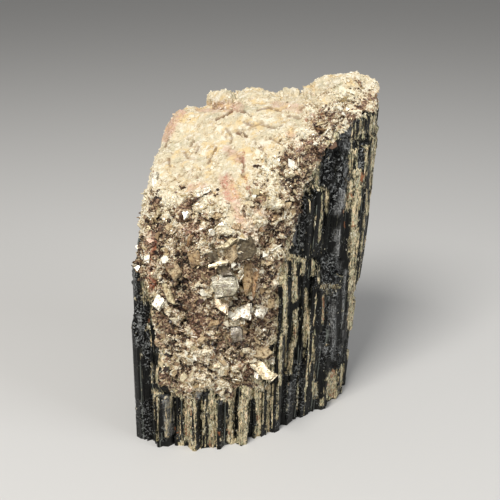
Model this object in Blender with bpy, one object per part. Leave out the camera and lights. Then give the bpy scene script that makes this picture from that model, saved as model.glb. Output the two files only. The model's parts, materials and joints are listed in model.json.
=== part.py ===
"""A natural crystal of black tourmaline (schorl), standing on its flat broken base.

The crystal is a thick prism that leans a little to the right. Its sides are striated black tourmaline:
sub-prisms that grew side by side, many of them broken off short. A rough crust of mica and feldspar grew
over its front and its slanting top, with a few mica plates large enough to be solid pieces. It all grew
together, so it is one closed solid.

Lengths are in millimetres until the last step turns them into metres. +Z is up and -Y is the front.
Angles are in degrees round the upright axis, counted from +X towards +Y, so the front is at -90.
"""

import math
import random

import bmesh
import bpy
from mathutils import Vector, noise

MM = 0.001
NODE = "tourmaline_crystal"

# The prism
FOOT_OUTLINE = [
    (-33.9, -14.0), (-33.3, -24.0), (-27.2, -28.2), (-13.5, -30.4), (-6.5, -29.2), (3.6, -25.0),
    (8.0, -21.4), (12.0, -16.8), (22.2, -10.6), (27.2, -7.3), (30.4, -3.0), (32.2, 3.0),
    (31.4, 12.0), (25.0, 19.5), (9.0, 24.5), (-9.0, 24.5), (-24.0, 19.5), (-31.5, 9.0), (-33.8, -3.0),
]
LEAN = 0.027            # how far the axis moves to the right for each unit of height
FLARE = 0.028           # how much faster than that the right side moves out
COLUMNS = 96
WALL_RINGS = 22
SHOULDER_RINGS = 5
TOP_RINGS = 11

# The slanting top
TOP_PLANE = (90.0, 0.30, 0.50)       # height over the axis, and its slope towards +X and +Y
TOP_LEVEL = 93.5                       # the highest that the slope reaches
LEFT_SLOPE = (131.8, 1.90)             # height over the axis of the steep left side, and its slope
TOP_BLEND = 5.0                        # how softly the three surfaces of the top meet
KNOB_PLACE = (26.0, 9.0)
KNOB_RADIUS = 10.8
KNOB_HEIGHT = 6.2
SHOULDER_ROUND = [                     # angle, and radius between wall and top
    (-180, 3.5), (-130, 8.0), (-90, 9.0), (-60, 6.0), (-20, 2.0), (60, 2.0), (120, 3.0), (180, 3.5),
]

# The crust of mica and feldspar
CRUST_LEFT = -137.0
CRUST_RIGHT = [(0, -84.0), (20, -82.0), (50, -75.0), (65, -66.0), (75, -58.0), (85, -41.0), (92, -20.0)]
CRUST_FOOT = 19.0                      # height of the crust's lower edge
CRUST_STAND = 1.3                      # how far the crust stands out over the black faces
EDGE_WANDER = 7.0                      # how far its edge wanders up and down
EDGE_STEP = 3.0                        # width over which it rises, in millimetres along the face
LUMP_SIZE = 8.0
LUMP_HEIGHT = 1.5
HOLLOW = {"angle": -94.0, "height": 41.0, "radius": 3.2, "depth": 2.0}

# The striated black faces
RIB_SEED = 11
RIB_WIDTH = (2.2, 5.8)
RIB_PROUD = [(0.3, 1.0), (1.3, 2.2)]   # sub-prisms stand out a little and a lot by turns
RIB_ROOT = 3.5                         # how deep a sub-prism is set into the body
BROKEN_SHARE = 0.3                     # share of the sub-prisms that end below the top
LEFT_STEP_FROM = 195.0                 # past this angle the left sub-prisms end at one step
LEFT_STEP_HEIGHT = 58.0
UNDER_BASE = 2.0                       # everything is built this far too low and cut off flat

# Sub-prisms with a place of their own: angle, width, how far each stands out, and its two ends
LEDGES = [
    (-57.0, 5.6, 2.2, -2.0, 73.5),
    (-49.0, 3.4, 1.4, -2.0, 78.0),
    (-40.0, 4.6, 2.3, -2.0, 56.0),
    (-33.0, 4.6, 1.6, -2.0, 79.0),
    (-29.0, 3.0, 2.4, 50.0, 84.0),
    (-24.0, 5.0, 2.6, -2.0, 48.0),
    (-17.0, 4.8, 1.8, 20.0, 86.0),
    (-9.0, 4.2, 1.9, 36.0, 84.0),
    (1.0, 4.4, 1.4, 36.0, 87.0),
    (9.0, 4.0, 1.2, 58.0, 88.0),
    (-141.0, 4.0, 1.5, -2.0, 57.0),
    (-150.0, 4.6, 1.3, -2.0, 55.0),
]

# Mica plates: angle, height, length, width, tilt out of the crust, and turn in its plane
PLATES = [
    (-99.5, 45.0, 7.4, 4.6, 22.0, 8.0),
    (-88.5, 43.5, 5.6, 4.2, 18.0, -25.0),
    (-130.5, 48.5, 6.6, 5.6, 20.0, 60.0),
    (-84.0, 25.0, 9.0, 5.2, 16.0, -50.0),
    (-105.5, 57.0, 8.4, 6.8, 12.0, 20.0),
    (-98.0, 65.5, 6.4, 5.4, 22.0, -15.0),
    (-128.0, 60.0, 6.4, 5.8, 14.0, 35.0),
    (-117.0, 24.5, 7.0, 5.8, 16.0, -10.0),
    (-97.0, 36.5, 5.6, 4.6, 24.0, 30.0),
    (-112.0, 67.5, 5.4, 5.0, 20.0, -40.0),
]
PLATE_THICKNESS = 1.4
PLATE_SINK = 0.3


def blend(value, low, high):
    """0 below low, 1 above high, and a smooth rise between them."""
    t = min(1.0, max(0.0, (value - low) / (high - low)))
    return t * t * (3.0 - 2.0 * t)


def along(points, value):
    """Read a curve that is given as pairs, with straight runs between them."""
    if value <= points[0][0]:
        return points[0][1]
    for (x0, y0), (x1, y1) in zip(points, points[1:]):
        if value <= x1:
            return y0 + (y1 - y0) * (value - x0) / (x1 - x0)
    return points[-1][1]


def soft_min(a, b, width):
    """The lower of two heights, rounded where they cross."""
    h = max(0.0, width - abs(a - b)) / width
    return min(a, b) - h * h * width * 0.25


def foot_radius(angle):
    """Distance from the axis to the foot's outline, in the direction of an angle."""
    way = Vector((math.cos(angle), math.sin(angle)))
    for i, (x0, y0) in enumerate(FOOT_OUTLINE):
        x1, y1 = FOOT_OUTLINE[(i + 1) % len(FOOT_OUTLINE)]
        edge = Vector((x1 - x0, y1 - y0))
        cross = way.x * edge.y - way.y * edge.x
        if abs(cross) < 1e-9:
            continue
        reach = (x0 * edge.y - y0 * edge.x) / cross
        share = (x0 * way.y - y0 * way.x) / cross
        if reach > 0.0 and -1e-6 <= share <= 1.0 + 1e-6:
            return reach
    raise ValueError("the foot's outline does not close round the axis")


def body_place(angle, radius, height):
    """A point at an angle and radius from the leaning axis."""
    x = radius * math.cos(angle)
    y = radius * math.sin(angle)
    x += height * (LEAN + FLARE * blend(math.cos(angle), -0.2, 0.9))
    return Vector((x, y, height))


def top_height(x, y):
    """Height of the slanting top over a point."""
    slope = TOP_PLANE[0] + TOP_PLANE[1] * x + TOP_PLANE[2] * y
    left = LEFT_SLOPE[0] + LEFT_SLOPE[1] * x
    height = soft_min(soft_min(slope, TOP_LEVEL, TOP_BLEND), left, TOP_BLEND)
    away = math.hypot(x - KNOB_PLACE[0], y - KNOB_PLACE[1])
    return height + KNOB_HEIGHT * (1.0 - blend(away, KNOB_RADIUS * 0.55, KNOB_RADIUS * 1.15))


def edge_height(angle):
    """Height of the slanting top where the wall meets it."""
    place = body_place(angle, foot_radius(angle), TOP_LEVEL)
    return top_height(place.x, place.y)


def crust_cover(angle, height, radius):
    """1 where the crust lies on the wall, 0 on the black faces, with a short rise at its edge."""
    turn = math.degrees(angle)
    arc = math.radians(1.0) * radius
    from_left = (turn - CRUST_LEFT) * arc
    from_right = (along(CRUST_RIGHT, height) - turn) * arc
    wander = EDGE_WANDER * noise.noise(Vector((turn * 0.11, height * 0.16, 3.0)))
    inside = min(from_left + 0.4 * wander, from_right + 0.4 * wander, height - CRUST_FOOT + wander)
    return blend(inside, 0.0, EDGE_STEP)


def lumps(place):
    """Height of the crust's lumps at a point."""
    coarse = noise.noise(place / LUMP_SIZE)
    fine = noise.noise(place / (LUMP_SIZE * 0.6) + Vector((7.0, 2.0, 5.0)))
    return LUMP_HEIGHT * (coarse * 1.2 + fine * 0.6)


def hollow_depth(angle, height, radius):
    """How far the dark hollow in the crust cuts in at a place on the wall."""
    across = (math.degrees(angle) - HOLLOW["angle"]) * math.radians(1.0) * radius
    away = math.hypot(across, height - HOLLOW["height"])
    return HOLLOW["depth"] * (1.0 - blend(away, 0.4 * HOLLOW["radius"], HOLLOW["radius"]))


def body_column(angle):
    """The points of one column of the body, from under the base up the wall and over to the axis."""
    foot = foot_radius(angle)
    rounding = along(SHOULDER_ROUND, math.degrees(angle))
    wall_top = edge_height(angle) - rounding
    points = []
    for ring in range(WALL_RINGS + 1):
        height = -UNDER_BASE + (wall_top + UNDER_BASE) * ring / WALL_RINGS
        cover = crust_cover(angle, height, foot)
        radius = foot - CRUST_STAND * (1.0 - cover) - hollow_depth(angle, height, foot)
        place = body_place(angle, radius, height)
        radius += cover * lumps(place)
        points.append(body_place(angle, radius, height))
    cover = crust_cover(angle, wall_top, foot)
    edge = foot - CRUST_STAND * (1.0 - cover)
    for ring in range(1, SHOULDER_RINGS + 1):
        turn = math.radians(90.0) * ring / SHOULDER_RINGS
        place = body_place(angle, edge - rounding * (1.0 - math.cos(turn)), TOP_LEVEL)
        rim = top_height(place.x, place.y) - rounding * (1.0 - math.sin(turn))
        place.z = max(rim, points[-1].z + 0.15)
        outward = Vector((math.cos(angle) * math.cos(turn), math.sin(angle) * math.cos(turn), math.sin(turn)))
        points.append(place + outward * lumps(place) * max(cover, blend(ring, 0, SHOULDER_RINGS)))
    inner = edge - rounding
    for ring in range(1, TOP_RINGS):
        radius = inner * (1.0 - ring / TOP_RINGS)
        place = body_place(angle, radius, TOP_LEVEL)
        place.z = top_height(place.x, place.y)
        place.z += lumps(place)
        points.append(place)
    return points


def add_object(name, bm, collection):
    """Turn millimetres into metres and make an object of a mesh, in flat triangles."""
    bmesh.ops.triangulate(bm, faces=bm.faces)
    bmesh.ops.scale(bm, vec=(MM, MM, MM), verts=bm.verts)
    mesh = bpy.data.meshes.new(name)
    bm.to_mesh(mesh)
    bm.free()
    obj = bpy.data.objects.new(name, mesh)
    collection.objects.link(obj)
    return obj


def make_body():
    """The leaning prism with its rounded shoulder, slanting top and crust."""
    bm = bmesh.new()
    columns = []
    for i in range(COLUMNS):
        angle = math.radians(-180.0 + 360.0 * (i + 0.5) / COLUMNS)
        columns.append([bm.verts.new(p) for p in body_column(angle)])
    middle = Vector((LEAN * TOP_LEVEL, 0.0, 0.0))
    middle.z = top_height(middle.x, middle.y) + lumps(Vector((middle.x, middle.y, TOP_LEVEL)))
    pole = bm.verts.new(middle)
    for i, left in enumerate(columns):
        right = columns[(i + 1) % COLUMNS]
        for low in range(len(left) - 1):
            bm.faces.new((left[low], right[low], right[low + 1], left[low + 1]))
        bm.faces.new((left[-1], right[-1], pole))
    bm.faces.new([column[0] for column in reversed(columns)])
    return add_object(NODE, bm, bpy.context.scene.collection)


def wall_frame(angle, height):
    """A point on the wall, the way along it, and the way out of it."""
    foot = foot_radius(angle)
    step = math.radians(2.0)
    here = body_place(angle, foot, height)
    ahead = body_place(angle + step, foot_radius(angle + step), height)
    behind = body_place(angle - step, foot_radius(angle - step), height)
    tangent = (ahead - behind).normalized()
    outward = Vector((tangent.y, -tangent.x, 0.0))
    return here, tangent, outward


def make_rib(angle, width, proud, low, top, rng, growths):
    """One sub-prism that follows the wall, with chamfered edges and a slanting broken end."""
    chamfer_left = width * rng.uniform(0.08, 0.4)
    chamfer_right = width * rng.uniform(0.08, 0.4)
    fall_left = proud * rng.uniform(0.35, 0.9) + 0.2
    fall_right = proud * rng.uniform(0.35, 0.9) + 0.2
    section = [
        (-0.5 * width, -RIB_ROOT),
        (0.5 * width, -RIB_ROOT),
        (0.5 * width, proud - fall_right),
        (0.5 * width - chamfer_right, proud),
        (-0.5 * width + chamfer_left, proud),
        (-0.5 * width, proud - fall_left),
    ]
    tip_slope = rng.uniform(-0.35, 0.35)
    tip_fall = rng.uniform(0.1, 0.7)
    bottom = low if low > 0.0 else -UNDER_BASE * rng.uniform(1.2, 2.4)
    levels = [bottom + (top - bottom) * share for share in (0.0, 0.35, 0.7, 1.0)]
    bm = bmesh.new()
    rings = []
    for level in levels:
        here, tangent, outward = wall_frame(angle, level)
        here -= outward * CRUST_STAND
        ring = []
        for across, out in section:
            place = here + tangent * across + outward * out
            if level == top:
                place.z += tip_slope * across - tip_fall * (out + RIB_ROOT)
            ring.append(bm.verts.new(place))
        rings.append(ring)
    for low, high in zip(rings, rings[1:]):
        for i in range(len(section)):
            j = (i + 1) % len(section)
            bm.faces.new((low[i], low[j], high[j], high[i]))
    bm.faces.new(list(reversed(rings[0])))
    bm.faces.new(rings[-1])
    bmesh.ops.recalc_face_normals(bm, faces=bm.faces)
    add_object("rib", bm, growths)


def bare_height(turn):
    """Height up to which the wall is bare below the crust's slanting right edge."""
    height = CRUST_RIGHT[0][0]
    while along(CRUST_RIGHT, height) < turn and height < CRUST_RIGHT[-1][0]:
        height += 1.0
    return max(CRUST_FOOT, height - 2.0)


def wall_ribs(rng):
    """Angle, width, how far it stands out, and the ends of every sub-prism of the black faces."""
    ribs = []
    turn = CRUST_RIGHT[0][1] + 4.0
    while turn < 360.0 + CRUST_LEFT - 2.0:
        width = rng.uniform(*RIB_WIDTH)
        proud = rng.uniform(*RIB_PROUD[len(ribs) % 2])
        angle = math.radians(turn)
        foot = foot_radius(angle)
        edge = edge_height(angle)
        top = edge - rng.uniform(2.5, 7.0)
        if rng.random() < BROKEN_SHARE:
            top = edge * rng.uniform(0.3, 0.9)
        if turn < CRUST_RIGHT[-1][1]:
            top = min(top, bare_height(turn))
        if turn > LEFT_STEP_FROM:
            top = min(top, LEFT_STEP_HEIGHT)
        ribs.append((turn, width * 1.12, proud, 0.0, top))
        turn += math.degrees(width / foot)
    return ribs


def foot_ribs(rng):
    """The short ends of the sub-prisms that show under the crust's lower edge."""
    ribs = []
    turn = CRUST_LEFT + 2.0
    while turn < CRUST_RIGHT[0][1] + 2.0:
        width = rng.uniform(2.2, 4.4)
        top = CRUST_FOOT + rng.uniform(-9.0, 4.0)
        ribs.append((turn, width * 1.1, rng.uniform(*RIB_PROUD[len(ribs) % 2]), 0.0, top))
        turn += math.degrees(width / foot_radius(math.radians(turn)))
    return ribs


def make_plate(angle, height, length, width, tilt, turn, growths):
    """One mica plate: a thin six-sided slab that stands out of the crust at a slant."""
    here, tangent, outward = wall_frame(math.radians(angle), height)
    upward = Vector((0.0, 0.0, 1.0))
    swing = math.radians(turn)
    first = tangent * math.cos(swing) + upward * math.sin(swing)
    second = upward * math.cos(swing) - tangent * math.sin(swing)
    lift = math.radians(tilt)
    face_out = outward * math.cos(lift) + second * math.sin(lift)
    second = second * math.cos(lift) - outward * math.sin(lift)
    centre = here + outward * (0.5 * width * math.sin(lift) * (1.0 - PLATE_SINK))
    corners = [(-0.5, -0.3), (-0.2, -0.5), (0.35, -0.5), (0.5, 0.1), (0.25, 0.5), (-0.35, 0.42)]
    bm = bmesh.new()
    rings = []
    for side in (-0.5, 0.5):
        ring = []
        for u, v in corners:
            place = centre + first * (u * length) + second * (v * width)
            ring.append(bm.verts.new(place + face_out * (side * PLATE_THICKNESS)))
        rings.append(ring)
    for i in range(len(corners)):
        j = (i + 1) % len(corners)
        bm.faces.new((rings[0][i], rings[0][j], rings[1][j], rings[1][i]))
    bm.faces.new(list(reversed(rings[0])))
    bm.faces.new(rings[1])
    bmesh.ops.recalc_face_normals(bm, faces=bm.faces)
    add_object("plate", bm, growths)


def fuse_growths(body, growths):
    """Fuse every sub-prism and plate into the body, so that all is one solid."""
    union = body.modifiers.new("union", "BOOLEAN")
    union.operation = "UNION"
    union.solver = "EXACT"
    union.operand_type = "COLLECTION"
    union.collection = growths
    with bpy.context.temp_override(object=body, active_object=body):
        bpy.ops.object.modifier_apply(modifier=union.name)
    for obj in list(growths.objects):
        bpy.data.objects.remove(obj)
    bpy.data.collections.remove(growths)


def keep_outer_shell(bm):
    """Drop the sealed pockets that can be left between two sub-prisms and the wall."""
    shells = []
    waiting = set(bm.faces)
    while waiting:
        reached = [waiting.pop()]
        for face in reached:
            touching = {other for edge in face.edges for other in edge.link_faces} & waiting
            waiting -= touching
            reached.extend(sorted(touching, key=lambda other: other.index))
        shells.append(reached)
    shells.sort(key=len)
    for pocket in shells[:-1]:
        bmesh.ops.delete(bm, geom=pocket, context="FACES")


def cut_base(body):
    """Cut the solid off flat at the height of its base and put the middle of its box on the origin."""
    bm = bmesh.new()
    bm.from_mesh(body.data)
    everything = list(bm.verts) + list(bm.edges) + list(bm.faces)
    cut = bmesh.ops.bisect_plane(
        bm, geom=everything, dist=1e-7, plane_co=(0, 0, 0), plane_no=(0, 0, -1), clear_outer=True
    )
    rim = [item for item in cut["geom_cut"] if isinstance(item, bmesh.types.BMEdge)]
    bmesh.ops.holes_fill(bm, edges=rim, sides=0)
    keep_outer_shell(bm)
    bmesh.ops.triangulate(bm, faces=bm.faces)
    bmesh.ops.recalc_face_normals(bm, faces=bm.faces)
    low = [min(v.co[k] for v in bm.verts) for k in range(2)]
    high = [max(v.co[k] for v in bm.verts) for k in range(2)]
    shift = Vector((-(low[0] + high[0]) / 2.0, -(low[1] + high[1]) / 2.0, 0.0))
    bmesh.ops.translate(bm, vec=shift, verts=bm.verts)
    bm.to_mesh(body.data)
    bm.free()


def crystal_material():
    """Black tourmaline: dark, glassy and not metallic."""
    material = bpy.data.materials.new("black_tourmaline")
    material.use_nodes = True
    shader = material.node_tree.nodes["Principled BSDF"]
    shader.inputs["Base Color"].default_value = (0.02, 0.02, 0.018, 1.0)
    shader.inputs["Roughness"].default_value = 0.28
    shader.inputs["Metallic"].default_value = 0.0
    return material


def main():
    for obj in list(bpy.data.objects):
        bpy.data.objects.remove(obj)
    growths = bpy.data.collections.new("growths")
    bpy.context.scene.collection.children.link(growths)
    body = make_body()
    rng = random.Random(RIB_SEED)
    for turn, width, proud, low, top in LEDGES + wall_ribs(rng) + foot_ribs(rng):
        make_rib(math.radians(turn), width, proud, low, top, rng, growths)
    for plate in PLATES:
        make_plate(*plate, growths)
    fuse_growths(body, growths)
    cut_base(body)
    body.data.materials.clear()
    body.data.materials.append(crystal_material())
    for face in body.data.polygons:
        face.use_smooth = False


main()
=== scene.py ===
"""Looks for a natural crystal of black tourmaline with a crust of mica and feldspar.

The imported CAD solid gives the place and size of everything. Its one node is stood for by fine pieces:
the striated black crystal, the granular mica crust on its front, the cream feldspar cap on its slanting
top, the larger mica plates, and thousands of small flakes and grains.

Lengths in the code are in millimetres, and in metres where a property has a unit. +Z is up and -Y is the
front. Angles are in degrees round the crystal's leaning axis, counted from +X towards +Y.
"""

import json
import math
import random

import bmesh
import bpy
import numpy as np
from mathutils import Matrix, Vector, noise
from mathutils.bvhtree import BVHTree

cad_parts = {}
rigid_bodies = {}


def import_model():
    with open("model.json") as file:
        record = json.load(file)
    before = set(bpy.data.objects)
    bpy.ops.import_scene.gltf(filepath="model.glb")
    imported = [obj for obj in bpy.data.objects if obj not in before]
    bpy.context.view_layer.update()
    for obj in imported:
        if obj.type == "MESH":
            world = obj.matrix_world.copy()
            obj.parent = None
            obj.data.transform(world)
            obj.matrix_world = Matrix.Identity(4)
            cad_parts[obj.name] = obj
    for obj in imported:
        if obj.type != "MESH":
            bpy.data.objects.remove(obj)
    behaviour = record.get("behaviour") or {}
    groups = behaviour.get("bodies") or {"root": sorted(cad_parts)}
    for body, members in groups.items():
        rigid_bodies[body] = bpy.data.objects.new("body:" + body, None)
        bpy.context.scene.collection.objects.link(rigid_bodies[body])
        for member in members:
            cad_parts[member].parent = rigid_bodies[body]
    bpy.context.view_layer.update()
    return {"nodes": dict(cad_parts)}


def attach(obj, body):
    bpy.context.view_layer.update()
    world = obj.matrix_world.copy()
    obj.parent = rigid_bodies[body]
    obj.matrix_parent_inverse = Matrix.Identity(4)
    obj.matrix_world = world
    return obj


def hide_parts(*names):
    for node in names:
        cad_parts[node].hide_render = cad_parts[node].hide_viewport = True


bl_info = {
    "name": "Black tourmaline specimen",
    "version": (1, 0, 0),
    "blender": (4, 5, 0),
    "location": "View3D > Sidebar > Tourmaline",
    "description": "Dresses a tourmaline crystal's CAD solid with its crust, cap, plates and flakes",
    "category": "Mesh",
}

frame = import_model()
NODE = "tourmaline_crystal"
MM = 0.001

# The crystal's axis and its walls, as the CAD solid has them
AXIS = (-1.4753, 3.7704)                # where the axis meets the base
LEAN = 0.027                            # how far it leans to the right for each millimetre up
FLARE = 0.028                           # how far the right wall leans out further
# Turns of the crust's left and right edges at each height, its lower edge, and how far they wander
CRUST_LEFT = [(0, -128), (22, -129), (34, -133), (46, -137), (54, -139), (61, -149), (72, -150)]
CRUST_RIGHT = [(0, -84.0), (20, -82.0), (50, -75.0), (65, -66.0), (75, -58.0), (85, -41.0), (92, -20.0)]
CRUST_FOOT = 19.0
EDGE_WANDER = 7.0
# Height of the rim, distance of the wall from the axis, and depth of the ragged rim, at each turn
TOP_EDGE = [
    (-180, 73.5), (-160, 71.8), (-140, 68.7), (-120, 70.7), (-90, 77.6), (-60, 85.3), (-30, 91.2), (0, 93.5),
    (30, 94.5), (60, 93.5), (120, 93.5), (135, 92.8), (150, 85.6), (165, 76.6), (180, 73.5),
]
WALL_RADIUS = [
    (-180, 33.2), (-160, 36.1), (-140, 40.1), (-120, 34.4), (-100, 29.0), (-80, 24.8), (-60, 21.2),
    (-40, 21.7), (-20, 26.2), (0, 31.3), (20, 33.5), (40, 31.0), (60, 26.7), (90, 24.5), (120, 26.6),
    (150, 31.0), (180, 33.2),
]
RIM_DROP = [
    (-180, 4.5), (-137, 5.0), (-100, 6.0), (-60, 4.0), (-46, 1.5), (-32, -0.4), (20, -0.4), (60, 1.0),
    (120, 3.0), (180, 4.5),
]
# How far the black wall at the right lies inside the CAD wall, in millimetres, at each height
RIGHT_PULL = [
    (0, 1.0), (12.4, 1.0), (12.7, 2.0), (20.8, 2.0), (21.1, 1.3), (39.8, 1.3), (40.1, 0.3), (50, 0.0),
]
# How far the low shoulder at the back left lies under the CAD rim, in millimetres, at each turn
SHOULDER = [
    (-180, 0.4), (-170, 0.0), (50, 0.0), (60, 0.8), (125, 0.6), (129, 2.9), (145, 2.3), (152, 0.4),
    (180, 0.2),
]
SHOULDER_RISE = (70.0, 84.0)            # the heights between which the shoulder comes in
# Zones of the black wall, each with the turns over which it comes in and those over which it goes out
BACK_FACES = ((60.0, 75.0), (-165.0, -150.0))
RIGHT_EDGE = ((-26.0, -22.0), (26.0, 30.0))
RIGHT_SIDE = ((-42.0, -20.0), (70.0, 95.0))
LEFT_CORNER = ((-162.0, -152.0), (-132.0, -126.0))
DRAWN_FACES = ((-90.0, -80.0), (-5.0, 10.0))        # the strokes give most of the film here
SEEN_FACES = ((-150.0, -140.0), (0.0, 15.0))        # only the strokes give crinkled places here
FOOT_FACES = ((-134.0, -128.0), (-82.0, -74.0))     # dust covers the lowest part here
FOOT_FALL = (18.0, 24.0)                # the heights over which that dust ends
# Width of the black crystal's mesh columns, in millimetres, at each turn
COLUMN_WIDTHS = [(-180, 0.27), (-92, 0.25), (-84, 0.2), (10, 0.2), (30, 0.36), (165, 0.36), (180, 0.27)]
# Turn and height of the CAD solid's own plates
CAD_PLATES = [
    (-99.5, 45.0), (-88.5, 43.5), (-130.5, 48.5), (-84.0, 25.0), (-105.5, 57.0), (-98.0, 65.5),
    (-128.0, 60.0), (-117.0, 24.5), (-97.0, 36.5), (-112.0, 67.5),
]

OUTSIDE, ABOVE = 70.0, 130.0            # where rays at the solid start, from the axis and from the base
UNDER_CAP = 3.8                         # how far the black top lies under the solid's
UNDER_CRUST = 1.3                       # how far the black wall lies in the solid where crust covers it
LOWEST_RAY = 0.12                       # the lowest rays at the wall, clear of the edge of the base
TOP_RINGS = 10                          # rings of mesh cells on the black top
TOP_HEIGHT = 93.0                       # the leaning axis at this height gives the middle of the top

# The camera, and the frame in which the marks below are placed
EYE = Vector((AXIS[0], -191.09, 140.86))
AIM = Vector((*AXIS, 50.0))
SENSOR = 36.0
FRAME_SIZE = 500.0
FRAME_FOCUS = 718.0                     # the lens's focal length, in pixels of the frame
VIEW_AHEAD = (AIM - EYE).normalized()
VIEW_RIGHT = Vector((1.0, 0.0, 0.0))
VIEW_UP = VIEW_RIGHT.cross(VIEW_AHEAD)
KEY_PLACE = (-0.18, -0.30, 0.55)        # the large lamp, in metres
KEY_WAY = Vector(KEY_PLACE).normalized()

# Outline of the cream cap where it shows from the front, in pixels of the frame
CAP_OUTLINE = [
    (110, 196), (146, 190), (160, 196), (178, 200), (198, 194), (212, 200), (222, 218), (238, 238),
    (251, 232), (252, 192), (262, 167), (280, 157), (300, 141), (318, 118), (334, 104), (352, 94), (372, 100),
    (400, 96), (400, 40), (110, 40),
]

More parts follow.
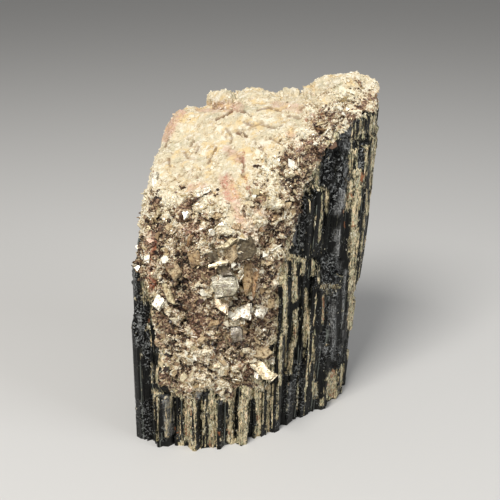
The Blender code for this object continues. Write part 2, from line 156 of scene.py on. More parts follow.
# Marks in the crust and cap, each a half width, a strength and the pixels that it runs through
STROKES = {
    "pink": [
        (9.0, 0.75, 226, 182, 232, 198), (6.0, 0.4, 228, 150, 240, 158), (7.0, 0.45, 236, 205, 248, 236),
        (7.0, 0.5, 164, 136, 180, 112), (6.0, 0.4, 190, 188, 202, 186), (5.0, 0.4, 200, 108, 240, 106),
        (5.0, 0.35, 276, 104, 300, 108), (5.0, 0.4, 290, 134, 297, 142), (5.0, 0.35, 300, 150, 312, 142),
        (5.0, 0.4, 250, 272, 256, 286), (9.0, 0.35, 196, 298, 200, 336), (8.0, 0.35, 184, 228, 202, 232),
        (6.0, 0.4, 150, 236, 152, 282), (6.0, 0.4, 250, 222, 256, 238), (5.0, 0.5, 256, 210, 272, 216),
    ],
    "rust": [
        (3.0, 0.9, 244, 150, 242, 164), (3.5, 0.8, 243, 170, 248, 188),
        (2.4, 0.85, 155, 243, 153, 252, 149, 262), (4.0, 0.75, 152, 276, 152, 288),
        (2.4, 0.7, 149, 316, 149, 324), (2.6, 0.8, 368, 93, 376, 92), (2.6, 0.8, 368, 98, 374, 99),
        (2.4, 0.4, 214, 146, 220, 148), (3.0, 0.5, 152, 172, 156, 170), (4.0, 0.45, 312, 116, 306, 122),
        (3.0, 0.45, 318, 108, 322, 114), (4.0, 0.5, 240, 364, 250, 370), (3.0, 0.4, 248, 280, 244, 292),
        (3.0, 0.5, 155, 345, 160, 350), (2.0, 0.5, 236, 236, 234, 238),
    ],
    # Painted shade in cracks, hollows and under plates
    "dark": [
        (2.0, 1.0, 210, 240, 213, 248, 220, 257), (2.0, 1.0, 228, 263, 235, 275),
        (3.4, 0.95, 177, 240, 178, 252), (7.5, 0.75, 180, 286, 188, 296, 182, 306),
        (2.4, 0.8, 181, 320, 184, 336), (2.4, 0.9, 181, 366, 186, 378), (6.0, 0.85, 246, 324, 248, 331),
        (7.0, 0.85, 286, 184, 292, 190), (4.0, 0.6, 297, 176, 290, 184),
        (1.5, 0.9, 248, 269, 254, 276, 253, 296), (2.6, 0.9, 250, 299, 252, 303),
        (2.0, 0.9, 312, 164, 312, 178), (2.0, 0.9, 341, 112, 339, 130), (3.0, 0.7, 158, 212, 155, 222),
        (3.0, 0.7, 176, 207, 182, 209), (4.5, 0.7, 168, 386, 176, 394), (3.0, 0.8, 258, 384, 257, 396),
        (3.0, 0.6, 166, 344, 174, 342), (3.0, 0.6, 246, 200, 250, 210), (3.0, 0.5, 203, 214, 212, 216),
        (3.0, 0.7, 262, 240, 268, 246), (4.0, 0.5, 200, 262, 212, 262), (4.0, 0.5, 186, 232, 192, 236),
        (3.0, 0.6, 160, 318, 158, 322),
    ],
    "line": [
        (1.7, 0.9, 205, 106, 220, 108, 232, 107), (1.6, 0.9, 236, 109, 244, 111, 251, 115),
        (1.6, 0.8, 216, 119, 226, 114, 234, 109), (1.9, 0.9, 237, 132, 242, 133, 246, 136),
        (1.6, 0.7, 209, 163, 212, 155, 216, 148), (1.6, 0.7, 300, 108, 309, 103, 316, 106),
        (1.6, 0.7, 258, 110, 268, 107, 280, 111), (1.6, 0.6, 262, 124, 274, 128, 284, 124),
        (1.6, 0.6, 190, 145, 193, 140), (1.6, 0.6, 270, 138, 282, 144, 290, 140),
        (1.6, 0.6, 196, 152, 199, 146), (1.5, 0.6, 320, 94, 330, 92, 338, 95), (1.7, 0.7, 168, 138, 165, 146),
        (1.7, 0.6, 184, 152, 188, 158), (1.6, 0.6, 244, 122, 252, 126, 262, 122),
        (1.8, 0.6, 255, 143, 262, 150, 266, 160), (1.7, 0.6, 218, 196, 214, 204),
        (1.8, 0.7, 168, 158, 170, 166), (1.6, 0.6, 288, 116, 298, 118, 306, 114),
        (1.6, 0.6, 226, 128, 232, 136, 230, 142), (1.8, 0.7, 240, 156, 244, 166, 242, 176),
    ],
    "press": [
        (2.4, 1.3, 210, 240, 213, 248, 220, 257), (2.4, 1.3, 228, 263, 235, 275),
        (4.0, 1.4, 177, 240, 178, 252), (7.0, 1.3, 246, 324, 248, 331), (6.0, 0.9, 286, 184, 292, 190),
        (2.0, 0.8, 181, 366, 186, 378), (2.0, 0.7, 181, 320, 184, 336), (6.0, 0.6, 182, 290, 186, 300),
        (1.8, 0.8, 248, 269, 254, 276, 253, 296), (1.5, 0.5, 205, 105, 232, 107, 250, 113),
        (1.4, 0.5, 222, 117, 232, 110), (1.5, 0.5, 240, 132, 246, 136), (1.5, 0.4, 205, 160, 216, 150),
        (1.6, 0.8, 232, 92, 234, 104), (1.8, 0.8, 341, 112, 339, 130), (1.8, 0.9, 312, 164, 312, 178),
        (1.5, 0.5, 306, 98, 316, 106), (1.4, 0.4, 186, 138, 194, 142), (2.5, 1.1, 236, 88, 237, 98),
        (2.0, 1.0, 281, 88, 282, 98), (2.0, 1.0, 301, 86, 302, 97), (2.5, 1.0, 312, 84, 313, 98),
    ],
    "bulge": [
        (8.0, 0.9, 214, 98, 229, 97), (6.0, 1.0, 284, 90, 288, 92), (6.0, 0.9, 304, 90, 308, 91),
        (6.0, 0.4, 240, 90, 258, 92), (4.0, 0.9, 216, 244, 232, 240), (3.0, 0.9, 208, 266, 222, 263),
        (6.0, 0.6, 250, 262, 250, 290), (5.0, 0.6, 170, 262, 172, 276), (6.0, 0.5, 150, 228, 150, 240),
        (9.0, 0.6, 334, 77, 350, 77), (5.0, 1.0, 372, 84, 377, 90), (5.0, 0.6, 214, 362, 226, 372),
        (5.0, 0.5, 272, 358, 272, 368), (3.0, 0.8, 150, 350, 150, 378), (6.0, 0.5, 262, 276, 270, 284),
        (4.0, 0.7, 182, 348, 192, 358),
    ],
    "pale": [
        (2.0, 1.0, 208, 266, 222, 263), (1.6, 0.8, 261, 270, 265, 279, 273, 281),
        (9.0, 0.6, 220, 368, 226, 388), (1.8, 1.0, 150, 350, 150, 378), (6.0, 0.7, 150, 232, 151, 238),
        (5.0, 0.8, 152, 198, 154, 212), (2.2, 0.9, 184, 350, 192, 358), (5.0, 0.9, 271, 357, 274, 368),
        (5.0, 0.8, 265, 298, 274, 306), (4.0, 0.7, 213, 364, 214, 368), (4.0, 0.6, 276, 322, 278, 330),
        (6.0, 0.5, 300, 134, 296, 150), (4.0, 0.6, 186, 342, 196, 344), (3.0, 0.8, 325, 126, 328, 128),
        (2.0, 0.7, 214, 246, 222, 256), (7.0, 0.4, 160, 265, 160, 272), (3.0, 0.7, 196, 338, 190, 342),
        (5.0, 0.5, 262, 262, 266, 270),
    ],
}

# Mica films, iron stains, places without film, and duller places with painted sheen and glints, of the black
# faces, in the same way.
# A film of 0.6 is dark.
BANDS = {
    "film": [
        (3.6, 0.92, 362, 123, 362, 137), (1.6, 1.15, 372, 116, 369, 146, 366, 160, 365, 186),
        (3.0, 0.72, 375, 118, 373, 160, 371, 182), (1.3, 1.05, 379, 118, 376, 145, 374, 168),
        (1.2, 1.1, 352.5, 113, 352, 140, 351, 150), (1.5, 0.62, 355.5, 124, 355.5, 160),
        (0.9, 1.05, 357.5, 138, 356.5, 168), (3.2, 0.9, 351, 150, 350.5, 186, 348.5, 200),
        (4.5, 0.95, 359, 172, 359, 200), (1.3, 1.1, 370, 186, 371.5, 200, 371.5, 225),
        (2.0, 0.7, 367, 190, 367, 215), (3.4, 1.1, 348, 204, 347, 209),
        (5.4, 1.0, 355, 200, 355, 230, 353, 262, 352.5, 290, 351, 326), (2.2, 0.66, 364, 214, 364, 228),
        (1.5, 1.1, 362.5, 232, 361.5, 252), (1.3, 1.15, 366.5, 236, 365.5, 262, 363, 285),
        (1.0, 0.6, 361, 254, 358, 286), (2.2, 1.05, 344, 118, 344, 128), (4.0, 0.85, 318, 152, 316, 184),
        (3.0, 0.95, 300, 186, 302, 194), (3.0, 0.9, 304, 188, 309, 192), (1.4, 1.15, 322, 194, 322, 218),
        (1.8, 0.72, 321, 220, 319, 242), (2.6, 0.98, 327, 193, 327, 212), (1.6, 0.9, 326, 214, 325, 228),
        (0.9, 1.1, 310.5, 191, 310, 212), (2.5, 1.1, 314, 188, 324, 188), (4.5, 1.0, 286, 256, 302, 260),
        (2.8, 1.1, 304, 262, 303, 274), (3.0, 1.2, 313.5, 261, 313, 275), (3.2, 1.05, 285, 262, 285, 332),
        (3.6, 1.02, 295, 264, 295, 300), (3.4, 1.0, 295, 311, 294, 345), (3.0, 0.9, 291, 345, 290, 372),
        (2.4, 0.95, 281, 334, 280, 384), (3.4, 0.95, 323, 286, 338, 287), (3.0, 0.9, 326, 291, 331, 295),
        (2.6, 0.95, 306, 290, 305, 346), (0.9, 1.0, 310, 290, 309, 345, 306, 386),
        (1.5, 1.0, 323.5, 296, 322.5, 324), (1.6, 1.05, 351, 320, 350, 334, 349, 358),
        (1.2, 0.9, 355, 296, 354, 340), (2.2, 1.0, 348.5, 350, 348.5, 357), (0.8, 0.85, 348.5, 360, 347, 395),
        (1.4, 1.1, 324, 374, 323, 405), (8.0, 0.95, 333, 376, 332, 397), (1.3, 1.15, 341.5, 366, 341, 395),
        (1.2, 1.1, 313, 382, 313, 400), (1.1, 1.1, 316.5, 383, 316, 398), (1.2, 0.85, 305, 388, 305, 402),
        (1.0, 0.62, 314, 330, 314, 380), (1.5, 0.6, 286, 332, 286, 374), (2.0, 1.1, 304, 352, 304, 356),
        (1.5, 0.66, 298, 372, 297, 410), (1.2, 0.7, 288, 380, 287, 412), (1.6, 0.6, 208, 396, 208, 444),
        (4.4, 0.95, 212, 400, 212, 444), (3.0, 0.7, 221, 398, 221, 440), (5.0, 0.9, 230, 392, 231, 444),
        (6.0, 0.98, 242, 400, 242, 441), (2.0, 0.6, 252, 396, 253, 438), (2.6, 1.0, 259, 384, 259, 432),
        (0.9, 1.1, 263.5, 382, 263, 424), (3.0, 0.9, 268, 382, 267, 428), (1.0, 1.1, 273, 384, 272, 428),
        (2.0, 0.66, 278, 384, 277, 420), (5.0, 0.95, 187, 400, 187, 438), (3.4, 0.85, 167, 398, 167, 436),
        (0.9, 1.1, 157.5, 398, 158, 441), (0.9, 1.0, 154, 396, 154.5, 420), (3.4, 0.9, 154, 391, 160, 393),
        (1.0, 1.1, 205.3, 400, 205.5, 446), (2.4, 0.7, 176, 404, 177, 438), (1.0, 0.9, 151, 362, 152, 384),
        (3.0, 0.8, 172, 382, 174, 396), (0.8, 0.9, 131, 345, 132, 360),
    ],
    "rust": [
        (2.2, 0.9, 362, 173, 361, 182), (1.4, 0.8, 353, 112, 352, 119), (1.4, 0.8, 349.5, 192, 349.5, 196),
        (1.2, 0.8, 343.5, 210, 343.5, 214), (1.3, 0.85, 344, 221, 344.5, 228), (1.6, 0.5, 333, 232, 334, 238),
        (1.6, 0.7, 350, 241, 350, 245), (1.5, 0.55, 323, 297, 323, 320), (3.0, 0.6, 334, 368, 332, 376),
        (2.4, 0.75, 175, 424, 177, 432), (2.2, 0.9, 219, 431, 220, 436), (1.8, 0.8, 228, 430, 229, 434),
        (2.0, 0.8, 209, 442, 211, 446), (4.0, 0.35, 186, 418, 188, 434), (2.0, 0.7, 258, 416, 257, 420),
        (4.0, 0.35, 330, 384, 334, 396), (1.6, 0.6, 354, 222, 354, 226), (3.0, 0.4, 294, 324, 294, 338),
        (1.2, 0.6, 289, 383, 290, 386), (3.0, 0.4, 188, 402, 190, 414), (2.0, 0.5, 149, 316, 149, 322),
    ],
    "bare": [
        (4.4, 1.0, 199, 397, 199, 447), (3.6, 0.95, 221, 402, 221, 436), (2.8, 0.8, 253, 400, 253, 438),
        (2.6, 0.9, 161, 398, 162, 440), (2.2, 0.8, 155.5, 400, 156, 440), (3.4, 0.7, 175, 400, 176, 436),
        (1.6, 0.8, 206.5, 400, 206.5, 446), (2.0, 0.8, 275, 392, 274, 424), (1.8, 0.7, 265.5, 386, 265, 426),
        (7.0, 0.8, 144, 366, 146, 440), (1.6, 0.8, 193.5, 380, 193, 440),
    ],
    # Painted sheen and glints on duller glassy places
    "frost": [
        (6.0, 0.8, 346, 124, 346, 148), (2.4, 0.8, 345, 164, 345, 186), (3.0, 0.9, 343.5, 190, 343, 206),
        (1.3, 1.1, 340.5, 206, 339.5, 232, 337.5, 258), (2.2, 0.7, 337, 262, 337, 275),
        (1.3, 1.0, 346, 264, 344, 290, 342, 336), (2.4, 0.75, 334, 300, 334, 360),
        (1.4, 0.8, 298.5, 198, 298.5, 222), (2.4, 0.8, 295, 228, 294, 242), (4.6, 1.1, 198, 382, 198, 395),
        (4.0, 0.7, 166, 398, 168, 434), (1.2, 0.7, 134, 258, 134, 300), (2.0, 0.7, 138, 316, 141, 334),
        (3.0, 0.8, 321, 347, 325, 351), (2.0, 0.5, 290, 384, 288, 410),
    ],
}

# Prism ends, gaps and ribs of the black faces: how far they stand out in millimetres, how smooth they are,
# and their corners in pixels of the frame
BLOCKS = [
    (0.75, 0.9, 308, 191, 323, 190, 321, 256, 305, 258), (0.1, 0.0, 298, 200, 308, 192, 305, 256, 296, 250),
    (-1.5, 0.0, 329, 190, 338, 190, 337, 212, 338, 255, 323, 256, 328, 214),
    (0.5, 0.8, 340, 190, 347, 188, 346, 232, 344, 262, 335, 272, 338, 232),
    (-0.8, 0.0, 331, 140, 352, 138, 350, 186, 346, 190, 320, 188, 322, 172, 325, 157),
    (-0.9, 0.0, 359, 140, 366, 140, 364, 170, 358, 170), (0.45, 0.0, 284, 252, 302, 258, 304, 275, 284, 276),
    (0.35, 0.0, 310, 260, 317, 260, 317, 276, 310, 276), (0.3, 0.0, 349, 200, 361, 200, 357, 330, 347, 330),
    (-0.5, 0.0, 319, 256, 341, 258, 340, 281, 318, 278), (0.4, 0.0, 322, 281, 340, 281, 340, 290, 322, 290),
    (-0.5, 0.3, 368, 231, 382, 231, 375, 288, 367, 288), (-0.8, 0.0, 361, 289, 380, 289, 370, 360, 356, 360),
    (-0.9, 0.3, 299, 276, 303, 276, 301, 330, 296, 372, 292, 372, 296, 330),
    (-0.6, 0.3, 314, 288, 320, 288, 318, 335, 312, 335), (0.3, 0.5, 331, 300, 337, 300, 336, 362, 330, 362),
    (0.35, 0.0, 322, 373, 343, 362, 342, 396, 322, 408), (-0.7, 0.4, 155, 397, 162, 397, 163, 441, 156, 441),
    (0.4, 0.2, 162, 396, 171, 396, 171, 436, 164, 438), (-0.9, 0.0, 172, 398, 180, 398, 180, 436, 173, 436),
    (0.45, 0.0, 181, 398, 193, 398, 193, 440, 182, 440), (0.4, 0.8, 193, 380, 203, 380, 203, 396, 193, 396),
    (-0.7, 0.7, 194, 396, 204, 396, 204, 448, 194, 446), (-0.6, 0.0, 216, 396, 225, 396, 225, 430, 217, 430),
    (-0.5, 0.0, 249, 412, 257, 412, 257, 438, 249, 440), (0.2, 0.0, 226, 396, 248, 396, 248, 440, 227, 444),
]
# Where the black faces are broken and crinkled, in the way of the marks
CRINKLES = [
    (6.0, 0.9, 346, 124, 345, 150), (5.0, 0.95, 343, 160, 342, 186), (6.0, 1.0, 328, 162, 324, 182),
    (5.0, 1.0, 334, 190, 334, 210), (9.0, 0.9, 331, 262, 328, 276), (8.0, 1.0, 328, 284, 332, 296),
    (6.0, 0.7, 330, 305, 330, 330), (7.0, 0.9, 326, 350, 336, 355), (6.0, 0.7, 301, 226, 299, 250),
    (4.0, 0.8, 362, 146, 361, 168), (8.0, 1.0, 137, 310, 141, 340), (3.0, 0.5, 137, 270, 136, 300),
    (4.0, 0.8, 146, 345, 147, 365), (6.0, 0.8, 144, 405, 147, 440), (6.0, 0.5, 303, 196, 303, 220),
    (6.0, 0.6, 298, 366, 300, 405), (5.0, 0.5, 290, 384, 288, 410), (5.0, 0.6, 324, 336, 322, 362),
]

# The mica plates that stand out most: how they face, sheets, finish, and their corners in pixels of the frame
LARGE_PLATES = [
    ("lit", 2, "white", 154, 289, 153, 304, 159, 310, 171, 310, 164, 301, 158, 293),
    ("plain", 2, "cream", 161, 281, 167, 283, 174, 293, 174, 304, 168, 301, 163, 290),
    ("plain", 2, "tan", 163, 264, 172, 258, 179, 258, 180, 272, 173, 279, 164, 277),
    ("plain", 2, "grey_green", 211, 272, 225, 268, 235, 278, 238, 287, 234, 295, 217, 298, 213, 286),
    ("dim", 2, "slate", 214, 268, 224, 264, 233, 275, 222, 276),
    ("plain", 2, "tan", 213, 288, 222, 298, 227, 300, 226, 314, 216, 306),
    ("plain", 2, "slate", 236, 240, 241, 235, 251, 237, 256, 249, 251, 257, 240, 260, 236, 255),
    ("plain", 2, "tan", 222, 250, 235, 246, 236, 258, 231, 264, 226, 260),
    ("lit", 2, "cream", 213, 241, 217, 248, 226, 247, 236, 243, 238, 238, 231, 238),
    ("plain", 2, "bronze", 239, 262, 249, 263, 254, 273, 252, 284, 245, 294, 239, 284),
    ("plain", 2, "ochre", 253, 262, 259, 270, 260, 284, 254, 298, 253, 286, 255, 276),
    ("lit", 2, "white", 228, 314, 238, 308, 250, 303, 251, 308, 249, 319, 240, 317, 235, 321),
    ("lit", 2, "white", 252, 313, 258, 304, 265, 305, 267, 309, 262, 318, 256, 318),
    ("lit", 2, "white", 195, 193, 200, 193, 203, 188, 209, 188, 210, 191, 204, 194, 201, 197, 196, 197),
    ("lit", 2, "white", 182, 212, 188, 212, 189, 216, 184, 219),
    ("lit", 2, "white", 209, 231, 213, 230, 214, 235, 210, 237),
    ("lit", 2, "white", 145, 253, 150, 252, 149, 264, 145, 262),
    ("dim", 2, "slate", 208, 253, 216, 252, 219, 259, 211, 262),
    ("plain", 2, "cream", 208, 265, 226, 260, 227, 263, 208, 268),
    ("lit", 2, "cream", 243, 358, 250, 357, 262, 362, 268, 370, 276, 374, 270, 379, 263, 378, 256, 370),
    ("plain", 2, "tan", 248, 347, 262, 345, 272, 352, 266, 358, 252, 356),
    ("lit", 2, "white", 267, 357, 274, 357, 273, 363, 268, 361),
    ("lit", 2, "white", 254, 372, 261, 374, 258, 379, 254, 377),
    ("lit", 2, "white", 151, 174, 158, 173, 156, 187, 153, 187),
    ("dim", 2, "slate", 231, 325, 241, 324, 243, 340, 233, 342),
    ("dim", 2, "bronze", 188, 254, 198, 250, 202, 262, 192, 268),
    ("plain", 2, "tan", 264, 299, 272, 300, 274, 307, 267, 309),
    ("lit", 1, "cream", 213, 363, 218, 362, 220, 367, 214, 369),
]

# Smaller mica plates: pixel of the middle, length and width in pixels, turn, lift, way of lift, and finish
PLATES = [
    (203, 275, 14, 9, -40, 18, 60, "tan"), (190, 240, 12, 8, 60, 25, 140, "ochre"),
    (216, 215, 12, 8, -15, 22, 80, "tan"), (236, 226, 11, 8, 40, 20, 50, "bronze"),
    (170, 226, 12, 8, 15, 22, 110, "tan"), (158, 213, 10, 7, 60, 24, 150, "cream"),
    (196, 300, 12, 8, -25, 22, 90, "tan"), (214, 322, 12, 8, 35, 20, 60, "bronze"),
    (226, 338, 13, 8, -30, 24, 100, "cream"), (202, 340, 11, 8, 20, 20, 90, "tan"),
    (180, 330, 12, 8, 50, 24, 130, "bronze"), (163, 340, 10, 7, 75, 24, 160, "cream"),
    (256, 340, 12, 8, -60, 22, 20, "tan"), (241, 333, 12, 8, 10, 20, 260, "bronze"),
    (246, 350, 10, 7, 20, 24, 90, "cream"), (222, 362, 12, 8, -15, 20, 80, "tan"),
    (196, 362, 11, 7, 45, 24, 120, "cream"), (175, 372, 10, 7, 70, 22, 150, "tan"),
    (238, 380, 11, 7, 10, 24, 80, "bronze"), (268, 386, 10, 6, -50, 24, 40, "cream"),
    (262, 228, 12, 8, 60, 20, 20, "ochre"), (270, 262, 12, 8, 40, 22, 20, "tan"),
    (272, 240, 10, 7, -40, 24, 20, "cream"), (276, 218, 11, 7, 55, 24, 20, "bronze"),
    (287, 205, 9, 6, 30, 24, 20, "tan"), (268, 290, 11, 7, 70, 22, 30, "tan"),
    (272, 320, 10, 6, -60, 22, 30, "cream"), (296, 172, 10, 7, -45, 22, 40, "bronze"),
    (308, 148, 9, 6, 40, 24, 40, "tan"), (322, 130, 9, 6, -30, 24, 40, "ochre"),
]


def srgb(red, green, blue):
    """A colour given as 11 to 255 on a screen, as the linear values that a shader takes."""
    return tuple(((c / 255.0 + 0.055) / 1.055) ** 2.4 for c in (red, green, blue))


FINISHES = {
    "white": srgb(228, 223, 204),
    "cream": srgb(220, 206, 168),
    "tan": srgb(204, 183, 146),
    "ochre": srgb(170, 136, 96),
    "bronze": srgb(180, 154, 116),
    "grey_green": srgb(136, 129, 104),
    "slate": srgb(106, 95, 74),
}


# ---------------------------------------------------------------- settings


def length(name, description, default, **limits):
    """A length property, in metres."""
    return bpy.props.FloatProperty(
        name=name, description=description, default=default, min=0.0, unit="LENGTH", precision=5, **limits
    )


def share(name, description, default, top=1.0):
    """A plain number property from 0 up."""
    return bpy.props.FloatProperty(name=name, description=description, default=default, min=0.0, max=top)


def colour(name, description, default):
    """A colour property."""
    return bpy.props.FloatVectorProperty(
        name=name, description=description, default=default, size=3, min=0.0, max=1.0, subtype="COLOR"
    )


class BlackCrystalSettings(bpy.types.PropertyGroup):
    """Sizes and colours of the striated black crystal."""

    row_step: length("Row step", "Height of the crystal's mesh cells", 0.00074)
    sub_prism: length("Sub-prism step", "How far the narrow sub-prisms stand out from each other", 0.00042)
    striation: length("Striation", "Height of the finest upright lines", 0.00006)
    black: colour("Black", "Colour of the glassy faces", (0.0025, 0.0027, 0.0024))
    film: colour("Mica film", "Colour of the mica that fills grooves", srgb(198, 190, 161))
    crinkle: length("Crinkle", "Height of the broken, crinkled places", 0.00055)
    roughness: share("Roughness", "How dull the glassy faces are", 0.2)


class CrustSettings(bpy.types.PropertyGroup):
    """Sizes and colours of the mica crust."""

    cell: length("Cell", "Size of the crust's mesh cells", 0.00036)
    relief: length("Relief", "Height of the crust's flaky lumps", 0.0008)
    brown: colour("Brown", "Colour of the crust's darker grains", srgb(90, 63, 44))
    mauve: colour("Mauve", "Colour of the crust's pinkish brown grains", srgb(157, 126, 103))
    tan: colour("Tan", "Colour of the crust's middle grains", srgb(196, 172, 131))
    pale: colour("Pale", "Colour of the crust's palest grains", srgb(240, 230, 204))


class CapSettings(bpy.types.PropertyGroup):
    """Sizes and colours of the feldspar cap."""

    cell: length("Cell", "Size of the cap's mesh cells", 0.00034)
    relief: length("Relief", "Height of the cap's lumps", 0.0005)
    cream: colour("Cream", "Main colour of the feldspar", srgb(222, 208, 176))
    grey: colour("Grey", "Colour of its greenish grey patches", srgb(192, 184, 154))
    pink: colour("Pink", "Colour of its pinkish streaks", srgb(202, 142, 120))
    rust: colour("Rust", "Colour of its iron stains", srgb(158, 80, 44))


class FlakeSettings(bpy.types.PropertyGroup):
    """How thickly the small flakes and grains lie, and how large they are."""

    dust: share("Dust", "Smallest shards on each square millimetre of crust", 7.8, top=20.0)
    glitter: share("Glitter", "Small flakes on each square millimetre of crust", 3.8, top=12.0)
    flakes: share("Flakes", "Middle flakes on each square millimetre of crust", 0.45, top=4.0)
    grains: share("Grains", "Feldspar grains on each square millimetre of cap", 1.3, top=6.0)
    film: share("Groove flakes", "Flakes on each square millimetre of a filled groove", 4.0, top=12.0)
    specks: share("Plate specks", "Shards on each square millimetre of a mica plate", 0.8, top=12.0)
    seed: bpy.props.IntProperty(name="Seed", description="Start of the random draws", default=7, min=0)


class PlateSettings(bpy.types.PropertyGroup):
    """Sizes of the larger mica plates."""

    sheet: length("Sheet", "Thickness of one sheet of a plate", 0.0002)
    warp: length("Warp", "How far the sheets are bent", 0.0005)
    sheets: bpy.props.IntProperty(name="Sheets", description="Most sheets in a small plate", default=2, min=1)


class StageSettings(bpy.types.PropertyGroup):
    """Floor, lamps and lens."""

    floor: colour("Floor", "Colour of the floor", (0.62, 0.61, 0.59))
    lens: bpy.props.FloatProperty(name="Lens", description="Focal length in mm", default=51.7, min=10.0)
    key: share("Key lamp", "Power of the large lamp over the front, in watts", 3.8, top=1000.0)
    fill: share("Fill lamp", "Power of the lamp on the right, in watts", 1.2, top=1000.0)
    sky: share("Sky", "Strength of the even light all round", 0.25, top=10.0)


SETTINGS = {
    "tourmaline_crystal": BlackCrystalSettings,
    "tourmaline_crust": CrustSettings,
    "tourmaline_cap": CapSettings,
    "tourmaline_flakes": FlakeSettings,
    "tourmaline_plates": PlateSettings,
    "tourmaline_stage": StageSettings,
}


# ---------------------------------------------------------------- small tools


def blend(value, low, high):
    """0 below low, 1 above high, and a smooth rise between them."""
    t = np.clip((value - low) / (high - low), 0.0, 1.0)
    return t * t * (3.0 - 2.0 * t)


def between(value, rise, fall):
    """1 from the end of a rise to the start of a fall, 0 outside both, and smooth within them."""
    return blend(value, *rise) * (1.0 - blend(value, *fall))


def along(points, value):
    """Read a curve that is given as pairs."""
    return np.interp(value, [x for x, _ in points], [y for _, y in points])


def noise_at(points, size, seed=0.0, upright=1.0):
    """Smooth noise from -1 to 1 at each point, drawn out upwards where upright is under 1."""
    shift = Vector((seed * 17.3, seed * 5.1, seed * 29.7))
    places = points * np.array([1.0, 1.0, upright]) / size
    return np.array([noise.noise(Vector(place) + shift) for place in places.tolist()])


def only(obj):
    """Select one object and make it active."""
    bpy.ops.object.select_all(action="DESELECT")
    obj.select_set(True)
    bpy.context.view_layer.objects.active = obj


def read_points(obj):
    """The vertices of an object, in millimetres."""
    flat = np.empty(len(obj.data.vertices) * 3)
    obj.data.vertices.foreach_get("co", flat)
    return flat.reshape(-1, 3) / MM


def read_normals(obj):
    """The vertex normals of an object."""
    flat = np.empty(len(obj.data.vertices) * 3, np.float32)
    obj.data.vertex_normals.foreach_get("vector", flat)
    return flat.reshape(-1, 3).astype(float)


def write_points(obj, points):
    """Move the vertices of an object to points in millimetres."""
    obj.data.vertices.foreach_set("co", (points * MM).astype(np.float32).ravel())
    obj.data.update()


def write_value(obj, name, values):
    """Keep one number for each vertex, for the materials and the scattering to read."""
    attribute = obj.data.attributes.get(name) or obj.data.attributes.new(name, "FLOAT", "POINT")
    attribute.data.foreach_set("value", np.asarray(values, np.float32))


def read_value(obj, name):
    """The numbers kept for each vertex under a name."""
    values = np.zeros(len(obj.data.vertices), np.float32)
    obj.data.attributes[name].data.foreach_get("value", values)
    return values.astype(float)


def apply(obj, kind, **values):
    """Add a modifier and apply it."""
    only(obj)
    modifier = obj.modifiers.new(kind.lower(), kind)
    for name, value in values.items():
        setattr(modifier, name, value)
    bpy.ops.object.modifier_apply(modifier=modifier.name)


def cad_copy(name):
    """A whole, merged copy of the CAD node's mesh, as an object of its own."""
    obj = bpy.data.objects.new(name, frame["nodes"][NODE].data.copy())
    bpy.context.scene.collection.objects.link(obj)
    only(obj)
    bpy.ops.object.mode_set(mode="EDIT")
    bpy.ops.mesh.select_all(action="SELECT")
    bpy.ops.mesh.remove_doubles(threshold=1e-6)
    bpy.ops.object.mode_set(mode="OBJECT")
    obj.data.materials.clear()
    return obj


def tree_of(*objects):
    """A search tree over the faces of some objects, in millimetres."""
    points, faces = [], []
    for obj in objects:
        first = len(points)
        points.extend(read_points(obj).tolist())
        faces.extend([first + corner for corner in face.vertices] for face in obj.data.polygons)
    return BVHTree.FromPolygons(points, faces)


def delete_faces(obj, doomed):
    """Delete the faces that a list of true and false names."""
    only(obj)
    bpy.ops.object.mode_set(mode="EDIT")
    bpy.ops.mesh.select_mode(type="FACE")
    bpy.ops.mesh.select_all(action="DESELECT")
    bpy.ops.object.mode_set(mode="OBJECT")
    obj.data.polygons.foreach_set("select", doomed)
    bpy.ops.object.mode_set(mode="EDIT")
    bpy.ops.mesh.delete(type="FACE")
    bpy.ops.object.mode_set(mode="OBJECT")


def face_means(obj, values):
    """The mean over each face of a number kept for each vertex."""
    corners = np.empty(len(obj.data.loops), np.int64)
    obj.data.loops.foreach_get("vertex_index", corners)
    starts = np.empty(len(obj.data.polygons), np.int64)
    obj.data.polygons.foreach_get("loop_start", starts)
    sizes = np.empty(len(obj.data.polygons), np.int64)
    obj.data.polygons.foreach_get("loop_total", sizes)
    return np.add.reduceat(np.asarray(values, float)[corners], starts) / sizes


def dress(obj, material):
    """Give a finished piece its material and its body."""
    obj.data.materials.clear()
    obj.data.materials.append(material)
    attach(obj, "root")
    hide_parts(NODE)


# ---------------------------------------------------------------- places on the crystal


def turn_of(points):
    """Angle of each point round the leaning axis, as the CAD solid counts it."""
    x = points[:, 0] - AXIS[0] - LEAN * points[:, 2]
    y = points[:, 1] - AXIS[1]
    turn = np.arctan2(y, x)
    for _ in range(3):
        turn = np.arctan2(y, x - points[:, 2] * FLARE * blend(np.cos(turn), -0.2, 0.9))
    return np.degrees(turn)


def radius_of(points):
    """Distance of each point from the leaning axis."""
    return np.hypot(points[:, 0] - AXIS[0] - LEAN * points[:, 2], points[:, 1] - AXIS[1])


def crust_reach(points):
    """How far each point lies inside the crust of the front wall, in millimetres."""
    turn = turn_of(points)
    arc = np.radians(1.0) * radius_of(points)
    places = np.column_stack((turn * 0.11, points[:, 2] * 0.16, np.full(len(turn), 3.0)))
    wander = EDGE_WANDER * noise_at(places, 1.0)
    left = (turn - along(CRUST_LEFT, points[:, 2])) * arc + 0.4 * wander
    right = (along(CRUST_RIGHT, points[:, 2]) - turn) * arc + 0.4 * wander
    return np.minimum(np.minimum(left, right), points[:, 2] - CRUST_FOOT + wander)


def top_reach(points):
    """How far each point lies above the lower rim of the slanting top, in millimetres."""
    turn = turn_of(points)
    rim = along(TOP_EDGE, turn) - along(RIM_DROP, turn)
    ragged = 1.6 * noise_at(points, 5.0, 2.0) + 0.7 * noise_at(points, 1.8, 4.0)
    inward = along(WALL_RADIUS, turn) - radius_of(points) - 5.0
    return np.maximum(points[:, 2] - rim + ragged, np.where(points[:, 2] > 50.0, inward, -9.0))


